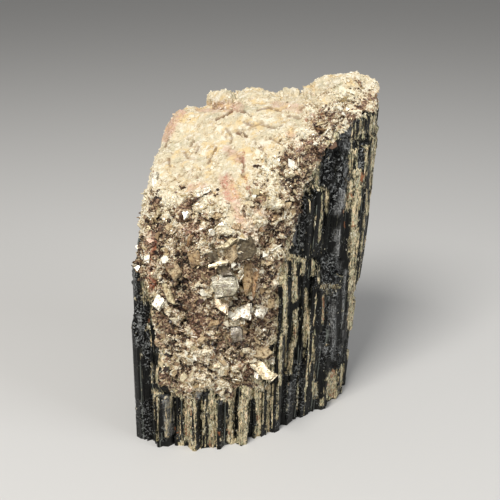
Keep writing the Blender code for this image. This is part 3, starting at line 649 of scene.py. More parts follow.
def shoulder_drop(points):
    """How far each point of the top goes down for the low shoulder at the back left, in millimetres."""
    inward = blend(radius_of(points), 11.0, 18.0)
    return along(SHOULDER, turn_of(points)) * blend(points[:, 2], *SHOULDER_RISE) * inward


def left_pull(turn, height):
    """How far the upper left wall lies inside the CAD wall, in millimetres."""
    return 1.5 * blend(np.abs(turn), 138.0, 150.0) * blend(height, 54.0, 61.0) * blend(-height, -86.0, -72.0)


def frame_pixels(points):
    """Where each point falls in the frame, in pixels."""
    away = points - np.array(EYE)
    depth = away @ np.array(VIEW_AHEAD)
    u = 0.5 * FRAME_SIZE + FRAME_FOCUS * (away @ np.array(VIEW_RIGHT)) / depth
    v = 0.5 * FRAME_SIZE - FRAME_FOCUS * (away @ np.array(VIEW_UP)) / depth
    return np.column_stack((u, v))


def faces_front(points, normals):
    """True for each point whose surface faces the camera's place."""
    return np.einsum("ij,ij->i", normals, np.array(EYE) - points) > 0.0


def pairs(flat):
    """Corners from a run of numbers."""
    return list(zip(flat[::2], flat[1::2]))


def path_distance(pixels, path):
    """Distance from each pixel to a path of straight runs."""
    best = np.full(len(pixels), 1e9)
    for start, end in zip(path, path[1:]):
        start, run = np.array(start, float), np.array(end, float) - np.array(start, float)
        share_along = np.clip(((pixels - start) @ run) / (run @ run), 0.0, 1.0)
        best = np.minimum(best, np.linalg.norm(pixels - start - share_along[:, None] * run, axis=1))
    return best


def outline_depth(pixels, outline):
    """Distance of each pixel from a closed outline, positive inside it."""
    inside = np.zeros(len(pixels), bool)
    for (x0, y0), (x1, y1) in zip(outline, outline[1:] + outline[:1]):
        crosses = (y0 > pixels[:, 1]) != (y1 > pixels[:, 1])
        if y0 != y1:
            inside ^= crosses & (pixels[:, 0] < x0 + (x1 - x0) * (pixels[:, 1] - y0) / (y1 - y0))
    distance = path_distance(pixels, outline + outline[:1])
    return np.where(inside, distance, -distance)


def stroke_cover(points, normals, strokes, edge_noise):
    """Cover of a set of strokes at each point, with ragged edges."""
    pixels = frame_pixels(points)
    cover = np.zeros(len(points))
    for half_width, strength, *flat in strokes:
        distance = path_distance(pixels, pairs(flat)) + edge_noise * half_width
        cover = np.maximum(cover, strength * (1.0 - blend(distance, 0.35 * half_width, 1.15 * half_width)))
    return np.where(faces_front(points, normals), cover, 0.0)


def cap_reach(points, normals):
    """How far each point lies inside the cream cap, in millimetres."""
    depth = 0.3 * outline_depth(frame_pixels(points), CAP_OUTLINE)
    depth = np.where(faces_front(points, normals), depth, 6.0)
    return depth + 1.5 * noise_at(points, 4.0, 6.0) + 0.8 * noise_at(points, 1.4, 8.0)


def pixel_ray(pixel):
    """The direction from the camera's place through a pixel of the frame."""
    half = 0.5 * FRAME_SIZE
    way = VIEW_AHEAD * FRAME_FOCUS + VIEW_RIGHT * (pixel[0] - half) + VIEW_UP * (half - pixel[1])
    return way.normalized()


def sight(tree, pixel):
    """The point and normal of a surface under a pixel of the frame."""
    place, normal, _, _ = tree.ray_cast(EYE, pixel_ray(pixel))
    if place is None:
        raise ValueError(f"nothing lies under pixel {pixel}")
    return place, normal


# ---------------------------------------------------------------- node graphs


class Term:
    """An output of a node. A sum with it adds the node that the sum needs."""

    def __init__(self, net, socket):
        self.net, self.socket = net, socket

    def sum(self, operation, other):
        """The result of a sum on numbers, or on vectors where this output is one."""
        if self.socket.type == "VALUE":
            return self.net.math(operation, self, other)
        return self.net.vector(operation, self, other if isinstance(other, (Term, tuple)) else (other,) * 3)

    def __add__(self, other):
        return self.sum("ADD", other)

    def __sub__(self, other):
        return self.sum("SUBTRACT", other)

    def __mul__(self, other):
        return self.sum("MULTIPLY", other)

    def spread(self, low, high, to_low=0.0, to_high=1.0):
        """This number taken smoothly from one range to another and held inside it."""
        values = {"Value": self, "From Min": low, "From Max": high, "To Min": to_low, "To Max": to_high}
        return self.net.out("Result", "ShaderNodeMapRange", values, interpolation_type="SMOOTHSTEP")


class Net:
    """Adds nodes to a node tree and links them, so that a graph reads as a list of steps."""

    def __init__(self, tree, material=None):
        self.tree, self.material = tree, material

    def finish(self, paint, rough, normal, fixed=None):
        """Link the shader's colour, roughness and normal, and set what is the same all over."""
        inputs = {"Base Color": paint, "Roughness": rough, "Normal": normal, **(fixed or {})}
        self.feed(self.tree.nodes["Principled BSDF"], inputs)
        return self.material

    def feed(self, node, values):
        """Give a node its numbers and its links."""
        for key, value in values.items():
            if isinstance(value, Term):
                self.tree.links.new(value.socket, node.inputs[key])
            else:
                node.inputs[key].default_value = value
        return node

    def add(self, kind, values=None, **settings):
        """A new node with its settings, its numbers and its links."""
        node = self.tree.nodes.new(kind)
        for name, value in settings.items():
            setattr(node, name, value)
        return self.feed(node, values or {})

    def out(self, output, kind, values=None, **settings):
        """One output of a new node."""
        return Term(self, self.add(kind, values, **settings).outputs[output])

    def math(self, operation, *terms):
        """The result of a sum on numbers."""
        return self.out(0, "ShaderNodeMath", dict(enumerate(terms)), operation=operation)

    def vector(self, operation, *terms):
        """The result of a sum on vectors."""
        output = "Value" if operation == "DOT_PRODUCT" else "Vector"
        return self.out(output, "ShaderNodeVectorMath", dict(enumerate(terms)), operation=operation)

    def mix(self, factor, low, high, blend_type="MIX"):
        """A colour between two."""
        low, high = (c if isinstance(c, Term) else (*c, 1.0) for c in (low, high))
        values = {0: factor, 6: low, 7: high}
        return self.out(2, "ShaderNodeMix", values, data_type="RGBA", blend_type=blend_type)

    def coats(self, paint, *coats):
        """A colour with others laid over it, each by a share of its own."""
        for factor, coat in coats:
            paint = self.mix(factor, paint, coat)
        return paint

    def noise(self, place, scale, detail=3.0, roughness=0.55, output=0):
        """Smooth noise from 0 to 1."""
        values = {"Vector": place, "Scale": scale, "Detail": detail, "Roughness": roughness}
        return self.out(output, "ShaderNodeTexNoise", values)

    def cells(self, place, scale):
        """The random colour of the cell that a point is in, and the three numbers of that colour."""
        tint = self.out("Color", "ShaderNodeTexVoronoi", {"Vector": place, "Scale": scale})
        split = self.add("ShaderNodeSeparateColor", {0: tint})
        return tint, *(Term(self, socket) for socket in split.outputs)

    def borders(self, place, scale):
        """The distance to the nearest border between two cells."""
        values = {"Vector": place, "Scale": scale}
        return self.out("Distance", "ShaderNodeTexVoronoi", values, feature="DISTANCE_TO_EDGE")

    def kept(self, name):
        """A number kept on the mesh."""
        if self.tree.bl_idname == "GeometryNodeTree":
            return self.out(0, "GeometryNodeInputNamedAttribute", {"Name": name}, data_type="FLOAT")
        return self.out("Fac", "ShaderNodeAttribute", attribute_name=name, attribute_type="GEOMETRY")

    def keep(self, geometry, name, value, domain="POINT"):
        """A geometry with a number kept on it under a name."""
        values = {"Geometry": geometry, "Name": name, "Value": value}
        return self.out(0, "GeometryNodeStoreNamedAttribute", values, data_type="FLOAT", domain=domain)

    def dice(self, seed, low=0.0, high=1.0):
        """A random number for each point or instance."""
        return self.out(1, "FunctionNodeRandomValue", {2: low, 3: high, "Seed": seed}, data_type="FLOAT")

    def ramp(self, factor, stops):
        """A colour read from a ramp of stops."""
        node = self.add("ShaderNodeValToRGB", {0: factor})
        elements = node.color_ramp.elements
        while len(elements) < len(stops):
            elements.new(0.5)
        for element, (position, paint) in zip(elements, stops):
            element.position = position
            element.color = (*paint, 1.0)
        return Term(self, node.outputs[0])

    def bump(self, height, distance, strength=1.0):
        """A normal that follows a height, with its distance in millimetres."""
        values = {"Height": height, "Distance": distance * MM, "Strength": strength}
        return self.out("Normal", "ShaderNodeBump", values)

    def tip(self, normal, cell, amount):
        """A normal tipped a different way in each cell, so that neighbouring grains catch the light apart."""
        return self.vector("NORMALIZE", normal + (cell - 0.5) * amount)


def new_material(name):
    """The net of an empty material, and the object's own coordinates in millimetres."""
    material = bpy.data.materials.new(name)
    material.use_nodes = True
    net = Net(material.node_tree, material)
    return net, net.out("Object", "ShaderNodeTexCoord") * (1.0 / MM)


def new_group(name):
    """An empty group of geometry nodes: its net, the geometry that comes in, and places in millimetres."""
    tree = bpy.data.node_groups.new(name, "GeometryNodeTree")
    for side in ("INPUT", "OUTPUT"):
        tree.interface.new_socket("Geometry", in_out=side, socket_type="NodeSocketGeometry")
    net = Net(tree)
    return net, net.out(0, "NodeGroupInput"), net.out(0, "GeometryNodeInputPosition") * (1.0 / MM)


def close_group(net, geometry):
    """Send a geometry out of a group, and give the group back."""
    net.add("NodeGroupOutput", {0: geometry})
    return net.tree


def shades_of(*stops):
    """The stops of a ramp from their positions and screen colours."""
    return [(stop, srgb(*paint)) for stop, *paint in stops]


# ---------------------------------------------------------------- materials


def black_material(settings):
    """Glassy black with upright fibres of mica in grooves, crinkled breaks and iron stains, painted
    highlights on edges and breaks, and painted glints and sheen.
    """
    net, place = new_material("black_tourmaline_finish")
    film, crinkle = net.kept("film"), net.kept("crinkle")
    fibres = net.noise(place * (1.0, 1.0, 0.07), 2.1, roughness=0.7)
    broad = net.noise(place * (1.0, 1.0, 0.2), 0.45)
    speck_tint, *speck = net.cells(place * (1.0, 1.0, 0.45), 2.0)
    grit = net.noise(place * (1.0, 1.0, 0.45), 3.6, detail=2.0, roughness=0.6) - 0.5
    stripes = fibres * 2.5 + speck[0] * (film * 0.3 + 0.2) + film * 0.76
    stripes = stripes + grit * (film * 2.2) - crinkle * 0.2 - 0.94
    shades = [
        (0.6, settings.black), (0.78, (0.016, 0.017, 0.011)), (0.94, [0.16 * c for c in settings.film]),
        (1.06, [0.55 * c for c in settings.film]), (1.22, settings.film), (1.4, srgb(240, 235, 216)),
    ]
    reach = 1.5
    paint = net.ramp(stripes * (1.0 / reach), [(stop / reach, shade) for stop, shade in shades])
    mica_share = stripes.spread(0.9, 1.08)
    tone = net.mix(speck[2], srgb(214, 218, 196), srgb(255, 232, 208))
    # Painted highlights: pale lines along the edges of the sub-prisms
    edge_highlight_share = (net.kept("edge") + fibres * 0.4).spread(0.55, 0.85)
    # Painted highlights: pale wiggly lines on the crinkled breaks, where broken glass is also somewhat paler
    bent = net.noise(place, 0.9, detail=2.0, roughness=0.5, output="Color")
    break_highlights = net.borders(place + bent * 1.6, 0.8).spread(0.03, 0.13, 1.0, 0.0)
    break_highlights = break_highlights * net.noise(place, 1.1, detail=2.0).spread(0.42, 0.6) * crinkle
    lines = net.noise(place * (1.0, 1.0, 0.12), 3.2, detail=2.0, roughness=0.7) * 0.6
    lines = lines + net.noise(place, 1.8) * 0.4
    # Painted sheen and glints on glassy places, which are also made duller
    frost_and_sheen_share = net.kept("frost") * lines.spread(0.42, 0.6, 0.1, 1.0)
    # Painted glints: small pale grey dots on the black
    glints = net.cells(place, 3.4)[1].spread(0.88, 0.98) * net.noise(place, 0.3, detail=2.0).spread(0.48, 0.6)
    rust_share = (net.kept("rust") * 0.7 + speck[1] * 0.7 + film * 0.26).spread(0.88, 1.1)
    paint = net.coats(
        paint, (mica_share, net.mix(1.0, paint, tone, "MULTIPLY")), (edge_highlight_share * 0.55, srgb(134, 140, 130)),
        (break_highlights * 0.75, srgb(206, 208, 206)), (glints * 0.5, srgb(150, 153, 150)),
        (frost_and_sheen_share * 0.85, srgb(168, 168, 166)), (rust_share * 0.85, srgb(150, 92, 56)),
    )
    dull = net.math("MAXIMUM", mica_share, net.math("MAXIMUM", frost_and_sheen_share, rust_share))
    rough = broad.spread(0.3, 0.7, settings.roughness * 0.6, settings.roughness * 1.4) + dull * 0.35
    rubble = net.noise(place, 1.5, detail=5.0, roughness=0.7) * crinkle
    bump = net.bump(fibres * 0.5 + broad * 0.4 + rubble * 3.2, 0.3)
    tipped = net.tip(bump, speck_tint, 0.7)
    normal = net.out(1, "ShaderNodeMix", {0: mica_share, 4: bump, 5: tipped}, data_type="VECTOR")
    return net.finish(paint, rough, normal, {"IOR": 1.62, "Specular IOR Level": 0.14})


def crust_material(crust, cap):
    """Granular mica crust: grains from nearly black to nearly white, each tipped its own way, with painted
    shade in low places, pits, cracks and along dark strokes.
    """
    net, place = new_material("mica_crust_finish")
    grain_tint, *grain = net.cells(place, 2.3)
    group = net.cells(place * (1.0, 1.0, 1.2), 0.9)[1:]
    tone = grain[0] * 0.62 + group[0] * 0.24 + net.noise(place, 0.18) * 0.2 + net.kept("cream") * 0.34
    # Painted shade along the dark strokes and in pits and cracks
    tone = tone - net.kept("dark") * 0.45 - net.kept("worn") * 0.3
    # Painted shade: low places of the relief darker, high ones paler
    tone = tone + net.kept("high").spread(0.1, 0.9, -0.33, 0.34)
    shades = [
        (0.18, [0.15 * c for c in crust.brown]), (0.4, crust.brown), (0.62, crust.mauve), (0.78, crust.tan),
        (1.0, crust.pale),
    ]
    rusty = net.kept("rust") + group[1] * 0.5 + grain[2] * 0.35
    paint = net.coats(
        net.ramp(tone, shades), (net.kept("pink") * 0.8 * grain[1], cap.pink),
        (rusty.spread(0.72, 1.05, 0.0, 0.7), cap.rust),
    )
    rough = grain[1].spread(0.0, 1.0, 0.3, 0.65)
    normal = net.tip(net.bump(net.noise(place, 3.2), 0.16, 0.9), grain_tint, 1.1)
    return net.finish(paint, rough, normal)


def cap_material(cap, crust):
    """Cream feldspar with grey and yellowish patches, brown pits and cracks, pink and rusty stains, and
    painted shade along dark strokes.
    """
    net, place = new_material("feldspar_finish")
    grain_tint, *grain = net.cells(place, 1.6)
    broad = net.noise(place, 0.2, detail=4.0, roughness=0.6)
    middle = net.noise(place, 0.55, detail=4.0, roughness=0.62)
    fine = net.noise(place, 2.2, roughness=0.6)
    tint = net.kept("pink") * fine.spread(0.3, 0.5, 0.4, 1.2) * middle.spread(0.36, 0.54, 0.4, 1.0)
    paint = net.coats(
        cap.cream,
        ((broad + (fine - 0.5) * 0.5).spread(0.52, 0.66, 0.0, 0.8), cap.grey),
        (middle.spread(0.48, 0.62, 0.0, 0.75), srgb(246, 238, 218)),
        (broad.spread(0.5, 0.4) * middle.spread(0.58, 0.42) * 0.7, srgb(232, 202, 144)),
        (tint, cap.pink),
        (net.kept("worn") * fine.spread(0.35, 0.6, 0.1, 0.6), srgb(156, 120, 82)),
        ((grain[0] + middle * -0.5).spread(0.68, 0.8) * 0.4, srgb(156, 128, 94)),
        ((net.kept("rust") + fine * 2.4).spread(1.85, 2.3, 0.0, 0.75), cap.rust),
        (net.kept("line") * 0.95, srgb(122, 84, 50)),
        # Painted shade along the dark strokes
        (net.kept("dark") * 0.7, crust.brown),
    )
    rough = grain[2].spread(0.0, 1.0, 0.45, 0.75)
    normal = net.tip(net.bump(fine + middle, 0.4, 0.9), grain_tint, 0.22)
    return net.finish(paint, rough, normal)


def flake_material(name, shades, metal, rough, cap):
    """Mica flakes, each with a tone of its own from a ramp, stained where the crust is, and darker as painted
    shade where it lies low or is marked dark.
    """
    net, place = new_material(name)
    # Painted shade along the dark strokes
    tone = net.kept("tint") - net.kept("dark") * 0.35 + net.kept("cream") * 0.25
    # Painted shade: low places of the surface under the flakes darker, high ones paler
    tone = tone + net.kept("high").spread(0.1, 0.9, -0.3, 0.27)
    paint = net.coats(
        net.ramp(tone, shades), (net.noise(place, 2.4).spread(0.4, 0.7, 0.0, 0.35), shades[1][1]),
        ((net.kept("rust") + net.kept("tint")).spread(1.1, 1.4, 0.0, 0.8), cap.rust),
        (net.kept("pink") * 0.45, cap.pink),
    )
    dull = net.noise(place, 1.1).spread(0.3, 0.7, rough * 0.7, rough * 1.5)
    normal = net.bump(net.noise(place, 4.0), 0.05, 0.5)
    return net.finish(paint, dull, normal, {"Metallic": metal, "IOR": 1.58})


def plate_material():
    """The large mica plates: pearly sheets with stained and dusty patches and faint lines of cleavage."""
    net, place = new_material("mica_plate_finish")
    own = net.out("Color", "ShaderNodeAttribute", attribute_name="sheet_colour", attribute_type="GEOMETRY")
    mottle = net.noise(place, 0.9, detail=4.0, roughness=0.6)
    steps = net.noise(place * (1.0, 0.4, 2.4), 1.4)
    fine = net.noise(place, 1.3, detail=5.0, roughness=0.75)
    stained = net.mix(1.0, own, srgb(188, 158, 120), "MULTIPLY")
    paint = net.coats(
        own, (mottle.spread(0.46, 0.7, 0.0, 0.8), stained),
        (steps.spread(0.55, 0.75, 0.0, 0.35), srgb(232, 226, 208)),
    )
    dusty = net.mix(1.0, paint, srgb(136, 118, 98), "MULTIPLY")
    paint = net.mix(fine.spread(0.48, 0.6, 0.0, 0.9), paint, dusty)
    glow = net.mix(1.0, paint, (1.6, 1.55, 1.4), "MULTIPLY")
    paint = net.mix(fine.spread(0.44, 0.34, 0.0, 0.7), paint, glow)
    rough = mottle.spread(0.3, 0.7, 0.16, 0.42)
    normal = net.bump(mottle * 0.5 + steps * 0.8, 0.12, 0.6)
    return net.finish(paint, rough, normal, {"Metallic": 0.15, "IOR": 1.6})


# ---------------------------------------------------------------- black crystal


def wall_radius(tree, turn, height):
    """The leaning axis at a height, the way out from it, and the distance to the CAD wall or None."""
    angle = math.radians(turn)
    way = Vector((math.cos(angle), math.sin(angle), 0.0))
    flare = FLARE * float(blend(math.cos(angle), -0.2, 0.9))
    middle = Vector((AXIS[0] + height * (LEAN + flare), AXIS[1], height))
    place = tree.ray_cast(middle + way * OUTSIDE, -way)[0]
    return middle, way, None if place is None else (place - middle).dot(way)


def column_turns(tree):
    """Angles of the crystal's columns, spaced finest where its black faces show."""
    step = 0.25
    turns = np.arange(-180.0, 180.0, step)
    radii = np.array([wall_radius(tree, turn, 30.0)[2] for turn in turns])
    weight = np.radians(step) * radii / along(COLUMN_WIDTHS, turns)
    total = np.concatenate(([0.0], np.cumsum(weight)))
    count = int(total[-1])
    return np.interp(np.linspace(0.0, total[-1], count + 1), total, np.append(turns, 180.0))


def lamellae(arc, heights, depth, seed):
    """Narrow sub-prisms that end and start again along their length: stand, tone and edges."""
    rng = random.Random(seed)
    out, tone, edge = (np.zeros((len(heights), len(arc))) for _ in range(3))
    start = 0.0
    while start < arc[-1]:
        width = rng.choice((0.5, 0.7, 0.9, 1.3, 1.8, 2.6)) * rng.uniform(0.8, 1.25)
        columns = np.flatnonzero((arc >= start) & (arc < start + width))
        start += width
        if not len(columns):
            continue
        across = (arc[columns] - arc[columns[0]]) / width - 0.5
        rows = heights[:, columns]
        low = -rng.uniform(0.0, 40.0)
        while low < heights[-1].max():
            high = low + rng.choice((7.0, 14.0, 28.0, 60.0)) * rng.uniform(0.7, 1.3)
            stand = rng.choice((-1.3, -0.6, 0.0, 0.3, 0.75)) * rng.uniform(0.6, 1.2)
            slope = rng.uniform(-0.5, 0.5)
            tilt = across * rng.uniform(-2.0, 2.0)
            inside = (rows + tilt >= low) & (rows + tilt < high)
            out[:, columns] = np.where(inside, depth * (stand + slope * across), out[:, columns])
            tone[:, columns] = np.where(inside, rng.random(), tone[:, columns])
            edge[:, columns[-1]] = np.where(inside[:, -1], rng.random(), edge[:, columns[-1]])
            low = high
    return out, tone, edge


def striations(arc, heights, depth, seed):
    """Fine upright lines that change slowly along their length."""
    rng = np.random.default_rng(seed)
    lines = np.zeros((2, len(arc)))
    for step, strength in ((0.35, 0.5), (0.8, 1.0)):
        knots = np.arange(0.0, arc[-1] + step, step)
        for line in lines:
            line += strength * np.interp(arc, knots, rng.uniform(-1.0, 1.0, len(knots)))
    change = 0.5 + 0.5 * np.sin(heights * 0.09 + arc[None, :] * 0.7)
    return depth * (lines[0] * change + lines[1] * (1.0 - change))


def lowest_near(radii, columns, rows):
    """The lowest radius in a window round each cell, so that nothing hidden stands through the crust."""
    low = radii.copy()
    for shift in range(-columns, columns + 1, 3):
        low = np.minimum(low, np.roll(radii, shift, axis=1))
    near = low.copy()
    for shift in range(-rows, rows + 1, 2):
        near = np.minimum(near, np.roll(low, shift, axis=0))
    return near


def wall_cells(tree, turns, heights):
    """The CAD wall at each mesh cell: its radius, the axis beside it, and the way out at each turn."""
    radii = np.zeros_like(heights)
    middles = np.zeros((*heights.shape, 3))
    ways = np.zeros((len(turns), 3))
    for i, turn in enumerate(turns):
        for j, height in enumerate(heights[:, i]):
            middle, way, radius = wall_radius(tree, turn, max(LOWEST_RAY, height))
            radii[j, i] = radii[j - 1, i] if radius is None else radius
            middles[j, i] = middle
        ways[i] = way
    return radii, middles, ways


def shift_zones(stand, turns, heights, rim):
    """Move whole zones of the black wall in or out, in millimetres."""
    rise, fall = BACK_FACES
    behind = np.maximum(blend(turns, *rise), 1.0 - blend(turns, *fall))
    stand = stand - 1.6 * behind * blend(heights - rim[None, :], -6.0, -3.0)
    stand = stand - 0.8 * left_pull(turns[None, :], heights)
    stand = stand - between(turns, *RIGHT_EDGE) * along(RIGHT_PULL, heights)
    stand = stand - between(turns, *LEFT_CORNER) * blend(heights, 36.0, 42.0)
    upper, middle = blend(heights, 84.0, 89.0), blend(heights, 58.0, 80.0)
    return stand + between(turns, *RIGHT_SIDE) * (0.8 * upper - 0.8 * middle)


def top_rings(tree, rim_points):
    """Rings of points from the rim to the middle of the black top, under the CAD solid's top."""
    centre = np.array([AXIS[0] + LEAN * TOP_HEIGHT, AXIS[1], 0.0])
    rings = []
    for step in range(1, TOP_RINGS):
        ring = rim_points * (1.0 - step / TOP_RINGS) + centre * (step / TOP_RINGS)
        for point in ring:
            hit = tree.ray_cast(Vector((point[0], point[1], ABOVE)), Vector((0.0, 0.0, -1.0)))[0]
            point[2] = (hit.z if hit else point[2] + 2.5) - UNDER_CAP
        ring[:, 2] -= shoulder_drop(ring)
        rings.append(ring)
    return rings


def crystal_rows(tree, settings):
    """Rows of points from the middle of the base, up the wall and over the top, with their tone and edge."""
    turns = column_turns(tree)
    rim = along(TOP_EDGE, turns) - 0.55 * along(RIM_DROP, turns)
    rim = rim - along(SHOULDER, turns) * blend(rim, *SHOULDER_RISE)
    count = int(rim.max() * MM / settings.row_step)
    heights = np.linspace(0.0, 1.0, count + 1)[:, None] * rim[None, :]
    radii, middles, ways = wall_cells(tree, turns, heights)
    arc = np.concatenate(([0.0], np.cumsum(np.radians(np.diff(turns)) * radii[count // 3, :-1])))
    places = (middles + radii[..., None] * ways).reshape(-1, 3)
    hidden = blend(crust_reach(places).reshape(radii.shape), 0.6, 3.4)
    stand, tone, edge = lamellae(arc, heights, settings.sub_prism / MM, 5)
    block, calm = (part.reshape(stand.shape) for part in block_stand(places))
    stand = shift_zones(stand * (1.0 - calm) + block, turns, heights, rim)
    detail = stand + striations(arc, heights, settings.striation / MM, 9)
    sunk = lowest_near(radii, 24, 9) - UNDER_CRUST - left_pull(turns[None, :], heights)
    shaped = (radii + detail * (1.0 - hidden)) * (1.0 - hidden) + sunk * hidden
    shaped[:, -1] = shaped[:, 0]
    middles[:, :, 2] = heights
    wall = middles + shaped[..., None] * ways
    above = top_rings(tree, wall[-1])
    under, pole = (np.tile(end, (len(turns), 1)) for end in ((*AXIS, 0.0), above[-1].mean(axis=0)))
    blank = ((1, len(above) + 1), (0, 0))
    return np.array([under, *wall, *above, pole]), np.pad(tone, blank), np.pad(edge, blank)


def block_stand(points):
    """How far the prism ends, gaps and ribs stand out at each point of the front, and how smooth they are."""
    away = points - np.array([*AXIS, 0.0])
    away[:, 2] = 0.0
    pixels, front = frame_pixels(points), faces_front(points, away)
    stand, calm = np.zeros(len(points)), np.zeros(len(points))
    for height, smooth, *flat in BLOCKS:
        inside = blend(outline_depth(pixels, pairs(flat)), -0.6, 0.6)
        stand = stand * (1.0 - inside) + height * inside
        calm = calm * (1.0 - inside) + smooth * inside
    return np.where(front, stand, 0.0), np.where(front, calm, 0.0)


def black_marks(obj, tone, edge):
    """Keep on the mesh where films, painted highlight lines, duller places with painted sheen and iron stains
    lie on the black faces.
    """
    points, normals = read_points(obj), read_normals(obj)
    ragged = 0.4 * noise_at(points, 0.9, 1.0, upright=0.15) + 0.3 * noise_at(points, 1.0, 5.0)
    marks = {name: stroke_cover(points, normals, strokes, ragged) for name, strokes in BANDS.items()}
    turn = turn_of(points)
    drawn = between(turn, *DRAWN_FACES)
    wild = blend(noise_at(points, 7.0, 11.0), 0.2, 0.4) * (1.0 - between(turn, *SEEN_FACES))
    crinkle = np.maximum(stroke_cover(points, normals, CRINKLES, ragged), wild)
    buried = blend(crust_reach(points), 0.6, 2.0)
    write_value(obj, "crinkle", crinkle)
    write_value(obj, "outer", np.ones(len(points)))
    write_value(obj, "lift", np.zeros(len(points)))
    write_value(obj, "rough", crinkle * (1.0 - buried) * blend(points[:, 2], 0.2, 1.5))
    streaks = noise_at(points, 1.2, 3.0, upright=0.06) + 0.45 * noise_at(points, 5.0, 7.0)
    dust = (0.03 + 0.4 * blend(streaks, 0.25, 0.8)) * (1.0 - 0.7 * crinkle) * (1.0 - 0.85 * drawn)
    foot = between(turn, *FOOT_FACES) * (1.0 - blend(points[:, 2], *FOOT_FALL))
    dust = np.maximum(dust, foot * (0.48 + 0.3 * blend(streaks, -0.2, 0.6)))
    near = crust_reach(points) + np.where(turn < -128.0, -2.0, 0.0)
    dust = np.maximum(dust, 0.95 * blend(near, -7.0 + 5.5 * drawn, 0.3))
    dust = np.maximum(dust, 0.8 * blend(top_reach(points), -3.5 + 2.0 * drawn, 0.3))
    film = blend(dust - tone + 0.25 * noise_at(points, 0.7, 9.0, upright=0.15), -0.08, 0.12)
    write_value(obj, "film", np.maximum(film, marks["film"] * (1.12 - 0.24 * tone)) * (1.0 - marks["bare"]))
    # The edges of the sub-prisms, where the material paints highlight lines
    write_value(obj, "edge", edge * blend(noise_at(points, 2.0, 6.0, upright=0.2), -0.3, 0.3))
    for name in ("frost", "rust"):
        write_value(obj, name, marks[name])


def make_black_crystal(settings):
    """The striated crystal, from a grid that is wrapped round the CAD wall and closed at both ends."""
    probe = cad_copy("probe")
    rows, tone, edge = crystal_rows(tree_of(probe), settings)
    bpy.data.objects.remove(probe)
    bpy.ops.object.select_all(action="DESELECT")
    across, up = rows.shape[1] - 1, rows.shape[0] - 1
    bpy.ops.mesh.primitive_grid_add(x_subdivisions=across, y_subdivisions=up, size=1.0)
    obj = bpy.context.object
    obj.name = "black_crystal"
    flat = read_points(obj) * MM + 0.5
    column = np.rint(flat[:, 0] * across).astype(int)
    row = np.rint(flat[:, 1] * up).astype(int)
    write_points(obj, rows[row, column])
    write_value(obj, "tone", tone[row, column])
    write_value(obj, "edge", edge[row, column])
    bpy.ops.object.mode_set(mode="EDIT")
    bpy.ops.mesh.select_all(action="SELECT")
    bpy.ops.mesh.remove_doubles(threshold=2e-6)
    bpy.ops.mesh.normals_make_consistent(inside=False)
    bpy.ops.object.mode_set(mode="OBJECT")
    obj.data.attributes.remove(obj.data.attributes["UVMap"])
    black_marks(obj, read_value(obj, "tone"), read_value(obj, "edge"))
    roughen(obj, settings.crinkle, [("cells", 1.7, 1.2), ("cells", 0.95, 0.7), ("noise", 3.0, 1.0)])
    only(obj)
    bpy.ops.object.shade_smooth_by_angle(angle=math.radians(24.0))
    dress(obj, black_material(settings))


# ---------------------------------------------------------------- crust and cap


def plate_weights(points):
    """1 at the CAD solid's own plates, so that they can be smoothed out of the crust."""
    turn = turn_of(points)
    weight = np.zeros(len(points))
    for plate_turn, height in CAD_PLATES:
        across = (turn - plate_turn) * math.radians(1.0) * 30.0
        away = np.hypot(across, points[:, 2] - height)
        weight = np.maximum(weight, 1.0 - blend(away, 5.0, 7.0))
    return weight


def skin(name, cell):
    """A fine, even copy of the CAD surface with its plates smoothed away."""
    obj = cad_copy(name)
    apply(obj, "REMESH", mode="VOXEL", voxel_size=cell)
    points = read_points(obj)
    reach = np.maximum(crust_reach(points), top_reach(points))
    delete_faces(obj, face_means(obj, reach) < -0.7)
    points = read_points(obj)
    weights = plate_weights(points)
    group = obj.vertex_groups.new(name="plates")
    for index in np.flatnonzero(weights > 0.0).tolist():
        group.add([index], float(weights[index]), "REPLACE")
    apply(obj, "SMOOTH", factor=0.9, iterations=500, vertex_group="plates")
    apply(obj, "SMOOTH", factor=0.5, iterations=8)
    obj.vertex_groups.clear()
    points = read_points(obj)
    points[:, 2] -= shoulder_drop(points)
    way = points[:, :2] - np.array(AXIS) - LEAN * points[:, 2:] * np.array([1.0, 0.0])
    radius = np.linalg.norm(way, axis=1)
    pull = left_pull(turn_of(points), points[:, 2]) * blend(radius, 6.0, 18.0)
    points[:, :2] -= way * (pull / np.maximum(radius, 1.0))[:, None]
    write_points(obj, points)
    return obj


def keep_largest(obj):
    """Drop the loose scraps that a ragged edge leaves."""
    only(obj)
    bpy.ops.object.mode_set(mode="EDIT")
    bpy.ops.mesh.select_mode(type="VERT")
    bpy.ops.mesh.select_all(action="DESELECT")
    bm = bmesh.from_edit_mesh(obj.data)
    best, seen = [], set()
    for start in bm.verts:
        if start in seen:
            continue
        island, waiting = [], [start]
        seen.add(start)
        while waiting:
            vert = waiting.pop()
            island.append(vert)
            for edge in vert.link_edges:
                other = edge.other_vert(vert)
                if other not in seen:
                    seen.add(other)
                    waiting.append(other)
        if len(island) > len(best):
            best = island
    keep = set(best)
    for vert in bm.verts:
        vert.select_set(vert not in keep)
    bmesh.update_edit_mesh(obj.data)
    bpy.ops.mesh.delete(type="VERT")
    bpy.ops.object.mode_set(mode="OBJECT")


